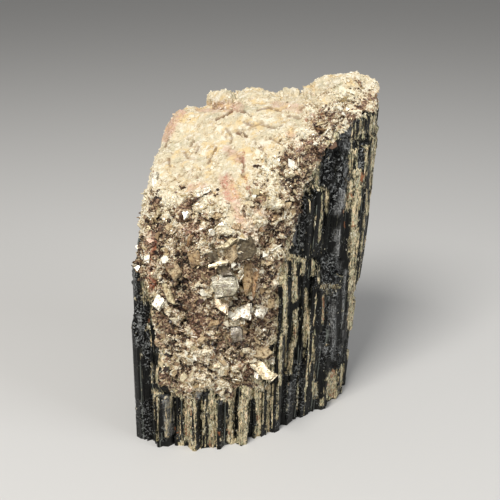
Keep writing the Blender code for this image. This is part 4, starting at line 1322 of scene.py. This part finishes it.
def relief_group(name, layers):
    """Geometry nodes that push a surface out by noise and by cells that each lie tipped like a flake.

    Pits and cracks are also kept on the mesh, for the materials to darken, and so is the height, by which
    painted shade darkens low places.
    """
    net, inside, place = new_group(name)
    total, worn = 0.0, 0.0
    flat = (place + net.noise(place, 0.7, detail=2.0) * 2.5) * (0.5, 0.8, 1.5)
    for kind, size, height in layers:
        scale = 1.0 / size
        if kind == "noise":
            raised = net.noise(place, scale, detail=1.0) - 0.5
        elif kind == "cells":
            cells = net.add("ShaderNodeTexVoronoi", {"Vector": place, "Scale": scale})
            tint, middle = Term(net, cells.outputs["Color"]), Term(net, cells.outputs["Position"])
            step = net.out(0, "FunctionNodeSeparateColor", {0: tint})
            lean = net.vector("DOT_PRODUCT", tint - 0.5, place - middle)
            raised = lean * (1.1 / size) + (step - 0.5) * 0.8
        elif kind == "ridges":
            some = net.noise(place, 0.25, detail=1.0).spread(0.42, 0.55)
            raised = net.borders(flat, scale).spread(0.01, 0.1, 1.0, 0.0) * some
        elif kind == "pits":
            cover = net.noise(place, scale, detail=2.0).spread(0.6, 0.68)
        else:
            some = net.noise(place, 0.16, detail=1.0).spread(0.45, 0.56)
            cover = net.borders(flat, scale).spread(0.015, 0.055, 1.0, 0.0) * some
        if kind in ("pits", "cracks"):
            worn = net.math("MAXIMUM", worn, cover)
            raised = cover * -1.0
        total = raised * height + total
    pushed = net.math("MULTIPLY_ADD", total, net.kept("rough"), net.kept("lift")) * net.kept("outer") * MM
    values = {0: net.out(0, "GeometryNodeInputNormal"), "Scale": pushed}
    push = net.out(0, "ShaderNodeVectorMath", values, operation="SCALE")
    stored = net.keep(net.keep(inside, "worn", worn), "high", total.spread(-0.9, 0.9))
    return close_group(net, net.out(0, "GeometryNodeSetPosition", {"Geometry": stored, "Offset": push}))


def thicken(obj, thickness):
    """Give a skin an inner wall, and mark the outer one."""
    group = obj.vertex_groups.new(name="inner")
    apply(
        obj, "SOLIDIFY", thickness=thickness * MM, offset=-1.0, use_even_offset=False,
        use_rim=True, shell_vertex_group="inner",
    )
    inner = np.zeros(len(obj.data.vertices))
    for vertex in obj.data.vertices:
        for member in vertex.groups:
            if member.group == group.index:
                inner[vertex.index] = member.weight
    write_value(obj, "outer", 1.0 - inner)
    obj.vertex_groups.clear()


def mark_strokes(obj, points, normals):
    """Keep the cover of each kind of stroke on the mesh, and give how far bulges and presses move it."""
    ragged = 0.4 * noise_at(points, 1.6, 1.0) + 0.3 * noise_at(points, 0.8, 5.0)
    for name in ("pink", "rust", "dark", "line"):
        write_value(obj, name, stroke_cover(points, normals, STROKES[name], ragged))
    press = stroke_cover(points, normals, STROKES["press"], 0.6 * ragged) + 0.5 * read_value(obj, "line")
    return stroke_cover(points, normals, STROKES["bulge"], ragged) - press


def shell_of(obj, doomed, thickness):
    """Cut a skin down and thicken it: its points, its normals and how far each point lies inside the cap."""
    delete_faces(obj, doomed)
    keep_largest(obj)
    thicken(obj, thickness)
    points, normals = read_points(obj), read_normals(obj)
    return points, normals, cap_reach(points, normals), np.maximum(crust_reach(points), top_reach(points))


def roughen(obj, relief, layers):
    """Push a surface out by layers of relief, whose heights are shares of one height."""
    height = relief / MM
    heights = [(kind, size, part * height) for kind, size, part in layers]
    apply(obj, "NODES", node_group=relief_group(obj.name + "_relief", heights))


def make_crust(crust, cap):
    """The granular crust of the front, sunk at its edges into the black crystal and under the cap."""
    obj = skin("mica_crust", crust.cell)
    under_cap = cap_reach(read_points(obj), read_normals(obj))
    points, normals, under_cap, reach = shell_of(obj, face_means(obj, under_cap) > 4.0, 1.5)
    lift = mark_strokes(obj, points, normals)
    lift = lift - 0.9 * (1.0 - blend(reach, -0.5, 1.6)) - 0.7 * blend(under_cap, 0.8, 2.4)
    write_value(obj, "lift", lift)
    write_value(obj, "rough", 0.35 + 0.65 * blend(reach, -0.3, 1.5))
    wander = 4.0 * noise_at(points, 5.0, 12.0) + 2.0 * noise_at(points, 1.6, 14.0)
    pale = stroke_cover(points, normals, STROKES["pale"], 0.4 * noise_at(points, 1.2, 15.0))
    write_value(obj, "cream", np.maximum(blend(under_cap + wander, -12.0, 2.0), pale))
    roughen(obj, crust.relief, [
        ("noise", 8.0, 2.4), ("noise", 3.0, 2.2), ("cells", 4.6, 1.5), ("cells", 1.9, 1.0),
        ("cells", 0.9, 0.4), ("pits", 2.6, 1.1), ("ridges", 3.6, 0.9),
    ])
    dress(obj, crust_material(crust, cap))


def make_cap(cap, crust):
    """The feldspar cap of the slanting top, with its edge sunk into the crust."""
    obj = skin("feldspar_cap", cap.cell)
    points = read_points(obj)
    inside = np.minimum(cap_reach(points, read_normals(obj)), top_reach(points) + 4.0)
    points, normals, reach, rim = shell_of(obj, face_means(obj, inside) < -1.4, 1.6)
    lift = mark_strokes(obj, points, normals)
    lift = lift - 0.1 - 1.1 * (1.0 - blend(reach, -1.0, 1.2)) - 0.9 * (1.0 - blend(rim, -0.5, 1.4))
    write_value(obj, "lift", lift)
    for name in ("rough", "cream"):
        write_value(obj, name, np.ones(len(points)))
    roughen(obj, cap.relief, [
        ("noise", 7.0, 2.2), ("noise", 2.4, 1.3), ("cells", 2.2, 0.6), ("noise", 0.9, 0.5),
        ("pits", 1.5, 0.45), ("cracks", 4.0, 0.5),
    ])
    dress(obj, cap_material(cap, crust))


# ---------------------------------------------------------------- plates


def add_sheet(corners, outward, thickness):
    """Add one sheet to the mesh in hand: a low prism between two copies of its corners."""
    bpy.ops.mesh.primitive_cylinder_add(vertices=len(corners), radius=1.0, depth=1.0)
    mesh = bmesh.from_edit_mesh(bpy.context.object.data)
    chosen = [v for v in mesh.verts if v.select]
    for vert in chosen:
        index = round(math.degrees(math.atan2(vert.co.y, vert.co.x)) / 360.0 * len(corners)) % len(corners)
        side = 0.5 if vert.co.z > 0.0 else -0.5
        vert.co = (corners[index] + outward * (side * thickness)) * MM
    bmesh.update_edit_mesh(bpy.context.object.data)
    return len(chosen)


def small_plate(rng, tree, row):
    """Corners, outward direction and finish of one of the smaller plates."""
    u, v, long_px, wide_px, turn, lift, way, finish = row
    place, normal = sight(tree, (u, v))
    pixel = (place - EYE).dot(VIEW_AHEAD) / FRAME_FOCUS
    facing = (normal * 0.6 + (EYE - place).normalized() * 0.4).normalized()
    swing, spin = math.radians(way), math.radians(turn)
    hinge = VIEW_UP * math.cos(swing) - VIEW_RIGHT * math.sin(swing)
    outward = (Matrix.Rotation(math.radians(lift), 3, hinge) @ facing).normalized()
    first = VIEW_RIGHT * math.cos(spin) + VIEW_UP * math.sin(spin)
    first = (first - outward * first.dot(outward)).normalized()
    second = outward.cross(first)
    centre = place + normal * (0.2 + 0.08 * wide_px * pixel)
    count = rng.choice((4, 5, 5))
    corners = []
    for index in range(count):
        around = math.tau * (index + rng.uniform(-0.25, 0.25)) / count
        reach = 0.5 * pixel * rng.uniform(0.75, 1.2)
        place = first * (reach * long_px * math.cos(around)) + second * (reach * wide_px * math.sin(around))
        corners.append(centre + place)
    return corners, outward, finish


def large_plate(tree, row):
    """Corners, outward direction and finish of a plate that is given by its outline in the frame."""
    way, sheets, finish, *flat = row
    outline = pairs(flat)
    u = sum(corner[0] for corner in outline) / len(outline)
    v = sum(corner[1] for corner in outline) / len(outline)
    place, normal = sight(tree, (u, v))
    to_eye = (EYE - place).normalized()
    lean = {"lit": KEY_WAY * 0.45, "plain": normal * 0.6, "dim": normal * 0.5 - KEY_WAY * 0.25}[way]
    outward = (to_eye + lean).normalized()
    pixels = outline + [((u + corner[0]) / 2.0, (v + corner[1]) / 2.0) for corner in outline]
    grounds = [tree.ray_cast(EYE, pixel_ray(pixel))[0] for pixel in pixels]
    stands = sorted((ground - place).dot(outward) for ground in grounds if ground)
    rise = 0.3 + (0.9 if finish == "white" else 0.55) * min(max(0.0, stands[-2]), 2.0)
    centre = place + outward * rise
    sheets += round(rise / 0.8)
    corners = []
    for corner in outline:
        ray = pixel_ray(corner)
        corners.append(EYE + ray * ((centre - EYE).dot(outward) / ray.dot(outward)))
    sides = zip(corners, corners[1:] + corners[:1])
    area = sum((a - centre).cross(b - centre).dot(outward) for a, b in sides)
    return corners if area > 0.0 else corners[::-1], outward, finish, sheets


def warp_group(amount, size):
    """Geometry nodes that bend sheets softly, with both sides alike."""
    net, inside, place = new_group("sheet_warp")
    clouds = net.noise(place, 1.0 / size, roughness=0.5, output="Color")
    offset = (clouds - 0.5) * (2.0 * amount * MM)
    return close_group(net, net.out(0, "GeometryNodeSetPosition", {"Geometry": inside, "Offset": offset}))


def make_plates(settings, *surfaces):
    """The mica plates, each a book of a few sheets that lie apart at their edges."""
    rng = random.Random(21)
    tree = tree_of(*surfaces)
    bpy.ops.object.select_all(action="DESELECT")
    bpy.ops.mesh.primitive_plane_add(size=MM)
    obj = bpy.context.object
    obj.name = "mica_plates"
    bpy.ops.object.mode_set(mode="EDIT")
    bpy.ops.mesh.select_all(action="SELECT")
    bpy.ops.mesh.delete(type="VERT")
    thickness = settings.sheet / MM
    books = [large_plate(tree, row) for row in LARGE_PLATES]
    books += [(*small_plate(rng, tree, row), rng.randint(1, settings.sheets)) for row in PLATES]
    colours = []
    for corners, outward, finish, sheets in books:
        middle = sum(corners, Vector()) / len(corners)
        for sheet in range(sheets + 1):
            slip = Vector([rng.uniform(-0.25, 0.25) for _ in range(3)]) * min(sheet, 1)
            drop = outward * (sheet * thickness * 1.2)
            grown = [(c - middle) * (1.0 + 0.03 * sheet * rng.uniform(0.0, 1.6)) for c in corners]
            count = add_sheet([middle + way + slip - drop for way in grown], outward, thickness)
            shade = rng.uniform(0.7, 1.0) if sheet else 1.0
            colours += [(*(min(1.0, c * shade) for c in FINISHES[finish]), 1.0)] * count
    bpy.ops.mesh.select_all(action="SELECT")
    bpy.ops.mesh.normals_make_consistent(inside=False)
    bpy.ops.object.mode_set(mode="OBJECT")
    layer = obj.data.attributes.new("sheet_colour", "FLOAT_COLOR", "POINT")
    layer.data.foreach_set("color", np.array(colours, np.float32).ravel())
    apply(obj, "BEVEL", width=0.00004, segments=1, limit_method="ANGLE", angle_limit=math.radians(40.0))
    apply(obj, "SUBSURF", subdivision_type="SIMPLE", levels=2)
    apply(obj, "NODES", node_group=warp_group(settings.warp / MM, 2.4))
    only(obj)
    bpy.ops.object.shade_smooth_by_angle(angle=math.radians(25.0))
    dress(obj, plate_material())


# ---------------------------------------------------------------- flakes and grains


def flake_shapes(kind, corners, thickness, count, seed, long=1.0, pointed=False):
    """A few irregular flakes, shards or splinters, as hidden objects of a collection."""
    rng = random.Random(seed)
    shapes = bpy.data.collections.new(kind)
    bpy.context.scene.collection.children.link(shapes)
    for index in range(count):
        bpy.ops.object.select_all(action="DESELECT")
        sides = rng.choice(corners)
        if pointed:
            bpy.ops.mesh.primitive_cone_add(vertices=sides, radius1=MM, radius2=0.0, depth=MM * thickness)
        else:
            bpy.ops.mesh.primitive_cylinder_add(vertices=sides, radius=MM, depth=MM * thickness)
        shape = bpy.context.object
        shape.name = f"{kind}_{index}"
        squeeze = rng.uniform(0.55, 0.95)
        points = read_points(shape)
        reach = {}
        for point in points:
            key = (round(point[0], 2), round(point[1], 2))
            if key not in reach:
                reach[key] = (rng.uniform(0.7, 1.15), rng.uniform(-0.15, 0.15), rng.uniform(-0.2, 0.2))
            stretch, skew, slip = reach[key]
            point[0] = point[0] * stretch * squeeze + slip
            point[1] = (point[1] * stretch + skew) * long
            point[2] *= rng.uniform(0.7, 1.3)
        write_points(shape, points)
        bpy.context.scene.collection.objects.unlink(shape)
        shapes.objects.link(shape)
    return shapes


def scatter_group(name, shapes, density, sizes, tilt, spin, sink, seed):
    """Geometry nodes that strew shapes over a surface as its attribute "strewn" says, and make them real."""
    net, inside, _ = new_group(name)
    crowd = net.kept("strewn") * (density / MM / MM)
    points = net.add("GeometryNodeDistributePointsOnFaces", {"Mesh": inside, "Density": crowd, "Seed": seed})
    options = {"Collection": shapes, "Separate Children": True, "Reset Children": True}
    scale = net.math("POWER", net.dice(seed + 1), 2.2) * (sizes[1] - sizes[0]) + sizes[0]
    placed = net.out(0, "GeometryNodeInstanceOnPoints", {
        "Points": Term(net, points.outputs["Points"]), "Rotation": Term(net, points.outputs["Rotation"]),
        "Instance": net.out(0, "GeometryNodeCollectionInfo", options), "Pick Instance": True, "Scale": scale,
    })
    lean = math.radians(tilt)
    values = {0: (-lean, -lean, -spin), 1: (lean, lean, spin), "Seed": seed + 2}
    turn = net.out(0, "FunctionNodeRandomValue", values, data_type="FLOAT_VECTOR")
    values = {"Instances": placed, "Rotation": turn, "Local Space": True}
    turned = net.out(0, "GeometryNodeRotateInstances", values)
    lift = net.out(0, "ShaderNodeCombineXYZ", {"Z": net.dice(seed + 3, -sink * MM, sink * MM * 1.5)})
    values = {"Instances": turned, "Translation": lift, "Local Space": True}
    lifted = net.out(0, "GeometryNodeTranslateInstances", values)
    stored = net.keep(lifted, "tint", net.dice(seed + 4), domain="INSTANCE")
    return close_group(net, net.out(0, "GeometryNodeRealizeInstances", {"Geometry": stored}))


def strew(name, surface, cover, shapes, density, sizes, tilt, sink, seed, finish, spin=math.pi):
    """Strew shapes over a copy of a surface, keep the shapes alone, and dress them."""
    bpy.ops.object.select_all(action="DESELECT")
    obj = bpy.data.objects.new(name, surface.data.copy())
    bpy.context.scene.collection.objects.link(obj)
    write_value(obj, "strewn", cover)
    group = scatter_group(name + "_scatter", shapes, density, sizes, tilt, spin, sink, seed)
    apply(obj, "NODES", node_group=group)
    for shape in list(shapes.objects):
        bpy.data.objects.remove(shape)
    bpy.data.collections.remove(shapes)
    dress(obj, finish)


def make_flakes(flakes, cap):
    """Dust, glitter and middle flakes over the whole crust, and dust on the plates."""
    crust, plates = bpy.data.objects["mica_crust"], bpy.data.objects["mica_plates"]
    points, normals = read_points(crust), read_normals(crust)
    shown = read_value(crust, "outer") * (1.0 - blend(cap_reach(points, normals), 0.4, 1.6))
    clumps = 0.25 + 0.75 * blend(noise_at(points, 6.0, 9.0), -0.15, 0.35)
    patches = 0.25 + 0.75 * blend(noise_at(read_points(plates), 1.5, 4.0), -0.1, 0.5)
    shades = shades_of(
        (0.0, 22, 15, 12), (0.16, 68, 48, 38), (0.3, 130, 102, 82), (0.44, 178, 152, 113),
        (0.6, 218, 199, 155), (0.78, 244, 232, 199), (1.0, 253, 248, 229),
    )
    # Each piece: surface, cover, shapes, how thickly they lie, sizes, tilt, sink, seed, metal and roughness
    pieces = [
        ("mica_dust", crust, shown, ("dust", (3, 3, 4), 0.5, 8, 41, 1.0, True), flakes.dust, (0.11, 0.38),
         60.0, 0.1, 40, 0.1, 0.4),
        ("mica_glitter", crust, shown, ("glitter", (3, 4, 4), 0.22, 6, 3), flakes.glitter, (0.16, 0.48),
         52.0, 0.12, 0, 0.25, 0.28),
        ("mica_flakes", crust, shown * clumps, ("flake", (3, 4, 4, 5), 0.16, 8, 5), flakes.flakes,
         (0.5, 1.6), 38.0, 0.16, 10, 0.2, 0.26),
        ("plate_dust", plates, patches, ("speck", (3, 3, 4), 0.5, 6, 51, 1.0, True), flakes.specks,
         (0.12, 0.36), 50.0, 0.06, 50, 0.1, 0.4),
    ]
    for name, surface, cover, shapes, density, sizes, tilt, sink, seed, metal, rough in pieces:
        finish = flake_material(shapes[0] + "_finish", shades, metal, rough, cap)
        slot = "mica_plates" if surface == plates else "mica_crust"
        seed += flakes.seed
        strew(name, surface, cover, flake_shapes(*shapes), density, sizes, tilt, sink, seed, finish)


def make_grains(flakes, cap):
    """Feldspar grains over the cap, thickest along its edge."""
    surface = bpy.data.objects["feldspar_cap"]
    points, normals = read_points(surface), read_normals(surface)
    edge = 1.0 - blend(cap_reach(points, normals), 0.0, 9.0)
    clumps = blend(noise_at(points, 4.0, 3.0), -0.1, 0.4)
    cover = np.minimum(read_value(surface, "outer") * (0.04 + 0.22 * clumps + 0.9 * edge), 1.0)
    shades = shades_of((0.0, 128, 98, 66), (0.14, 186, 166, 132), (0.4, 218, 202, 170), (0.9, 238, 228, 204))
    finish = flake_material("grain_finish", shades, 0.0, 0.5, cap)
    strew(
        "feldspar_grains", surface, cover, flake_shapes("grain", (4, 5), 0.8, 6, 13), flakes.grains,
        (0.2, 0.7), 60.0, 0.1, flakes.seed + 20, finish,
    )


def make_groove_mica(flakes, cap):
    """Slivers of mica in the filled grooves of the black faces, upright like the grooves."""
    surface = bpy.data.objects["black_crystal"]
    points = read_points(surface)
    bare = (1.0 - blend(crust_reach(points), 1.0, 2.0)) * (1.0 - blend(top_reach(points), 0.5, 1.5))
    filled = 0.01 + 0.99 * blend(read_value(surface, "film"), 0.4, 0.8)
    cover = filled * bare * blend(points[:, 2], 1.2, 2.2)
    shades = shades_of(
        (0.0, 30, 26, 18), (0.16, 92, 80, 58), (0.42, 156, 144, 112), (0.7, 200, 192, 162),
        (1.0, 242, 236, 214),
    )
    shapes = flake_shapes("groove_flakes", (4, 4, 5), 0.3, 8, 31, long=2.2)
    finish = flake_material("groove_finish", shades, 0.1, 0.4, cap)
    strew(
        "groove_mica", surface, cover, shapes, flakes.film, (0.1, 0.32), 20.0, 0.06, flakes.seed + 30, finish,
        spin=0.3,
    )


# ---------------------------------------------------------------- stage


def add_lamp(name, place, size, watts, tint):
    """A soft lamp that points at the crystal."""
    data = bpy.data.lights.new(name, "AREA")
    data.shape = "RECTANGLE"
    data.size, data.size_y = size
    data.energy = watts
    data.color = tint
    lamp = bpy.data.objects.new(name, data)
    bpy.context.scene.collection.objects.link(lamp)
    lamp.location = Vector(place)
    lamp.rotation_euler = (AIM * MM - lamp.location).to_track_quat("-Z", "Y").to_euler()


def make_stage(stage):
    """A plain pale floor, soft lamps and the camera."""
    bpy.ops.object.select_all(action="DESELECT")
    bpy.ops.mesh.primitive_plane_add(size=6.0, location=(0.0, 0.0, 0.0))
    floor = bpy.context.object
    floor.name = "floor"
    material = bpy.data.materials.new("floor_finish")
    material.use_nodes = True
    shader = material.node_tree.nodes["Principled BSDF"]
    shader.inputs["Base Color"].default_value = (*stage.floor, 1.0)
    shader.inputs["Roughness"].default_value = 0.9
    floor.data.materials.append(material)
    add_lamp("key", KEY_PLACE, (0.24, 0.24), stage.key, (1.0, 0.985, 0.96))
    add_lamp("fill", (0.45, -0.22, 0.28), (0.25, 0.4), stage.fill, (0.93, 0.96, 1.0))
    world = bpy.data.worlds.new("studio")
    world.use_nodes = True
    world.node_tree.nodes["Background"].inputs["Color"].default_value = (1.0, 1.0, 1.0, 1.0)
    world.node_tree.nodes["Background"].inputs["Strength"].default_value = stage.sky
    scene = bpy.context.scene
    scene.world = world
    scene.view_settings.view_transform = "Standard"
    data = bpy.data.cameras.new("camera")
    data.lens = stage.lens
    data.sensor_width = SENSOR
    data.clip_start, data.clip_end = 0.01, 20.0
    camera = bpy.data.objects.new("camera", data)
    scene.collection.objects.link(camera)
    camera.location = EYE * MM
    camera.rotation_euler = (AIM - EYE).to_track_quat("-Z", "Y").to_euler()
    scene.camera = camera


# ---------------------------------------------------------------- operators and panel


class TOURMALINE_OT_black_crystal(bpy.types.Operator):
    """Build the striated black crystal round the CAD solid"""

    bl_idname = "tourmaline.black_crystal"
    bl_label = "Black crystal"

    def execute(self, context):
        make_black_crystal(context.scene.tourmaline_crystal)
        return {"FINISHED"}


class TOURMALINE_OT_crust(bpy.types.Operator):
    """Build the granular mica crust of the front"""

    bl_idname = "tourmaline.crust"
    bl_label = "Mica crust"

    def execute(self, context):
        make_crust(context.scene.tourmaline_crust, context.scene.tourmaline_cap)
        return {"FINISHED"}


class TOURMALINE_OT_cap(bpy.types.Operator):
    """Build the feldspar cap of the slanting top"""

    bl_idname = "tourmaline.cap"
    bl_label = "Feldspar cap"

    def execute(self, context):
        make_cap(context.scene.tourmaline_cap, context.scene.tourmaline_crust)
        return {"FINISHED"}


class TOURMALINE_OT_plates(bpy.types.Operator):
    """Set the larger mica plates on the crust"""

    bl_idname = "tourmaline.plates"
    bl_label = "Mica plates"

    def execute(self, context):
        names = ("mica_crust", "feldspar_cap", "black_crystal")
        make_plates(context.scene.tourmaline_plates, *(bpy.data.objects[name] for name in names))
        return {"FINISHED"}


class TOURMALINE_OT_flakes(bpy.types.Operator):
    """Strew dust, glitter and flakes over the crust, and dust over the plates"""

    bl_idname = "tourmaline.flakes"
    bl_label = "Mica flakes"

    def execute(self, context):
        make_flakes(context.scene.tourmaline_flakes, context.scene.tourmaline_cap)
        return {"FINISHED"}


class TOURMALINE_OT_grains(bpy.types.Operator):
    """Strew feldspar grains over the cap"""

    bl_idname = "tourmaline.grains"
    bl_label = "Feldspar grains"

    def execute(self, context):
        make_grains(context.scene.tourmaline_flakes, context.scene.tourmaline_cap)
        return {"FINISHED"}


class TOURMALINE_OT_groove_mica(bpy.types.Operator):
    """Strew small flakes in the filled grooves of the black faces"""

    bl_idname = "tourmaline.groove_mica"
    bl_label = "Groove mica"

    def execute(self, context):
        make_groove_mica(context.scene.tourmaline_flakes, context.scene.tourmaline_cap)
        return {"FINISHED"}


class TOURMALINE_OT_stage(bpy.types.Operator):
    """Set up the floor, the lamps and the camera"""

    bl_idname = "tourmaline.stage"
    bl_label = "Stage"

    def execute(self, context):
        make_stage(context.scene.tourmaline_stage)
        return {"FINISHED"}


OPERATORS = [
    TOURMALINE_OT_stage,
    TOURMALINE_OT_black_crystal,
    TOURMALINE_OT_crust,
    TOURMALINE_OT_cap,
    TOURMALINE_OT_plates,
    TOURMALINE_OT_flakes,
    TOURMALINE_OT_grains,
    TOURMALINE_OT_groove_mica,
]


class TOURMALINE_PT_panel(bpy.types.Panel):
    """Lists the specimen's pieces and their settings."""

    bl_label = "Tourmaline"
    bl_idname = "TOURMALINE_PT_panel"
    bl_space_type = "VIEW_3D"
    bl_region_type = "UI"
    bl_category = "Tourmaline"

    def draw(self, context):
        for operator in OPERATORS:
            self.layout.operator(operator.bl_idname)
        for name, group in SETTINGS.items():
            box = self.layout.box()
            for field in group.__annotations__:
                box.prop(getattr(context.scene, name), field)


def register():
    """Register the settings, the operators and the panel."""
    for name, group in SETTINGS.items():
        bpy.utils.register_class(group)
        setattr(bpy.types.Scene, name, bpy.props.PointerProperty(type=group))
    for cls in (*OPERATORS, TOURMALINE_PT_panel):
        bpy.utils.register_class(cls)


def unregister():
    """Take back what register did."""
    for cls in reversed((*OPERATORS, TOURMALINE_PT_panel)):
        bpy.utils.unregister_class(cls)
    for name, group in SETTINGS.items():
        delattr(bpy.types.Scene, name)
        bpy.utils.unregister_class(group)


def main():
    """Build everything in order."""
    register()
    bpy.ops.tourmaline.stage()
    bpy.ops.tourmaline.black_crystal()
    bpy.ops.tourmaline.crust()
    bpy.ops.tourmaline.cap()
    bpy.ops.tourmaline.plates()
    bpy.ops.tourmaline.flakes()
    bpy.ops.tourmaline.grains()
    bpy.ops.tourmaline.groove_mica()


if __name__ == "__main__":
    main()
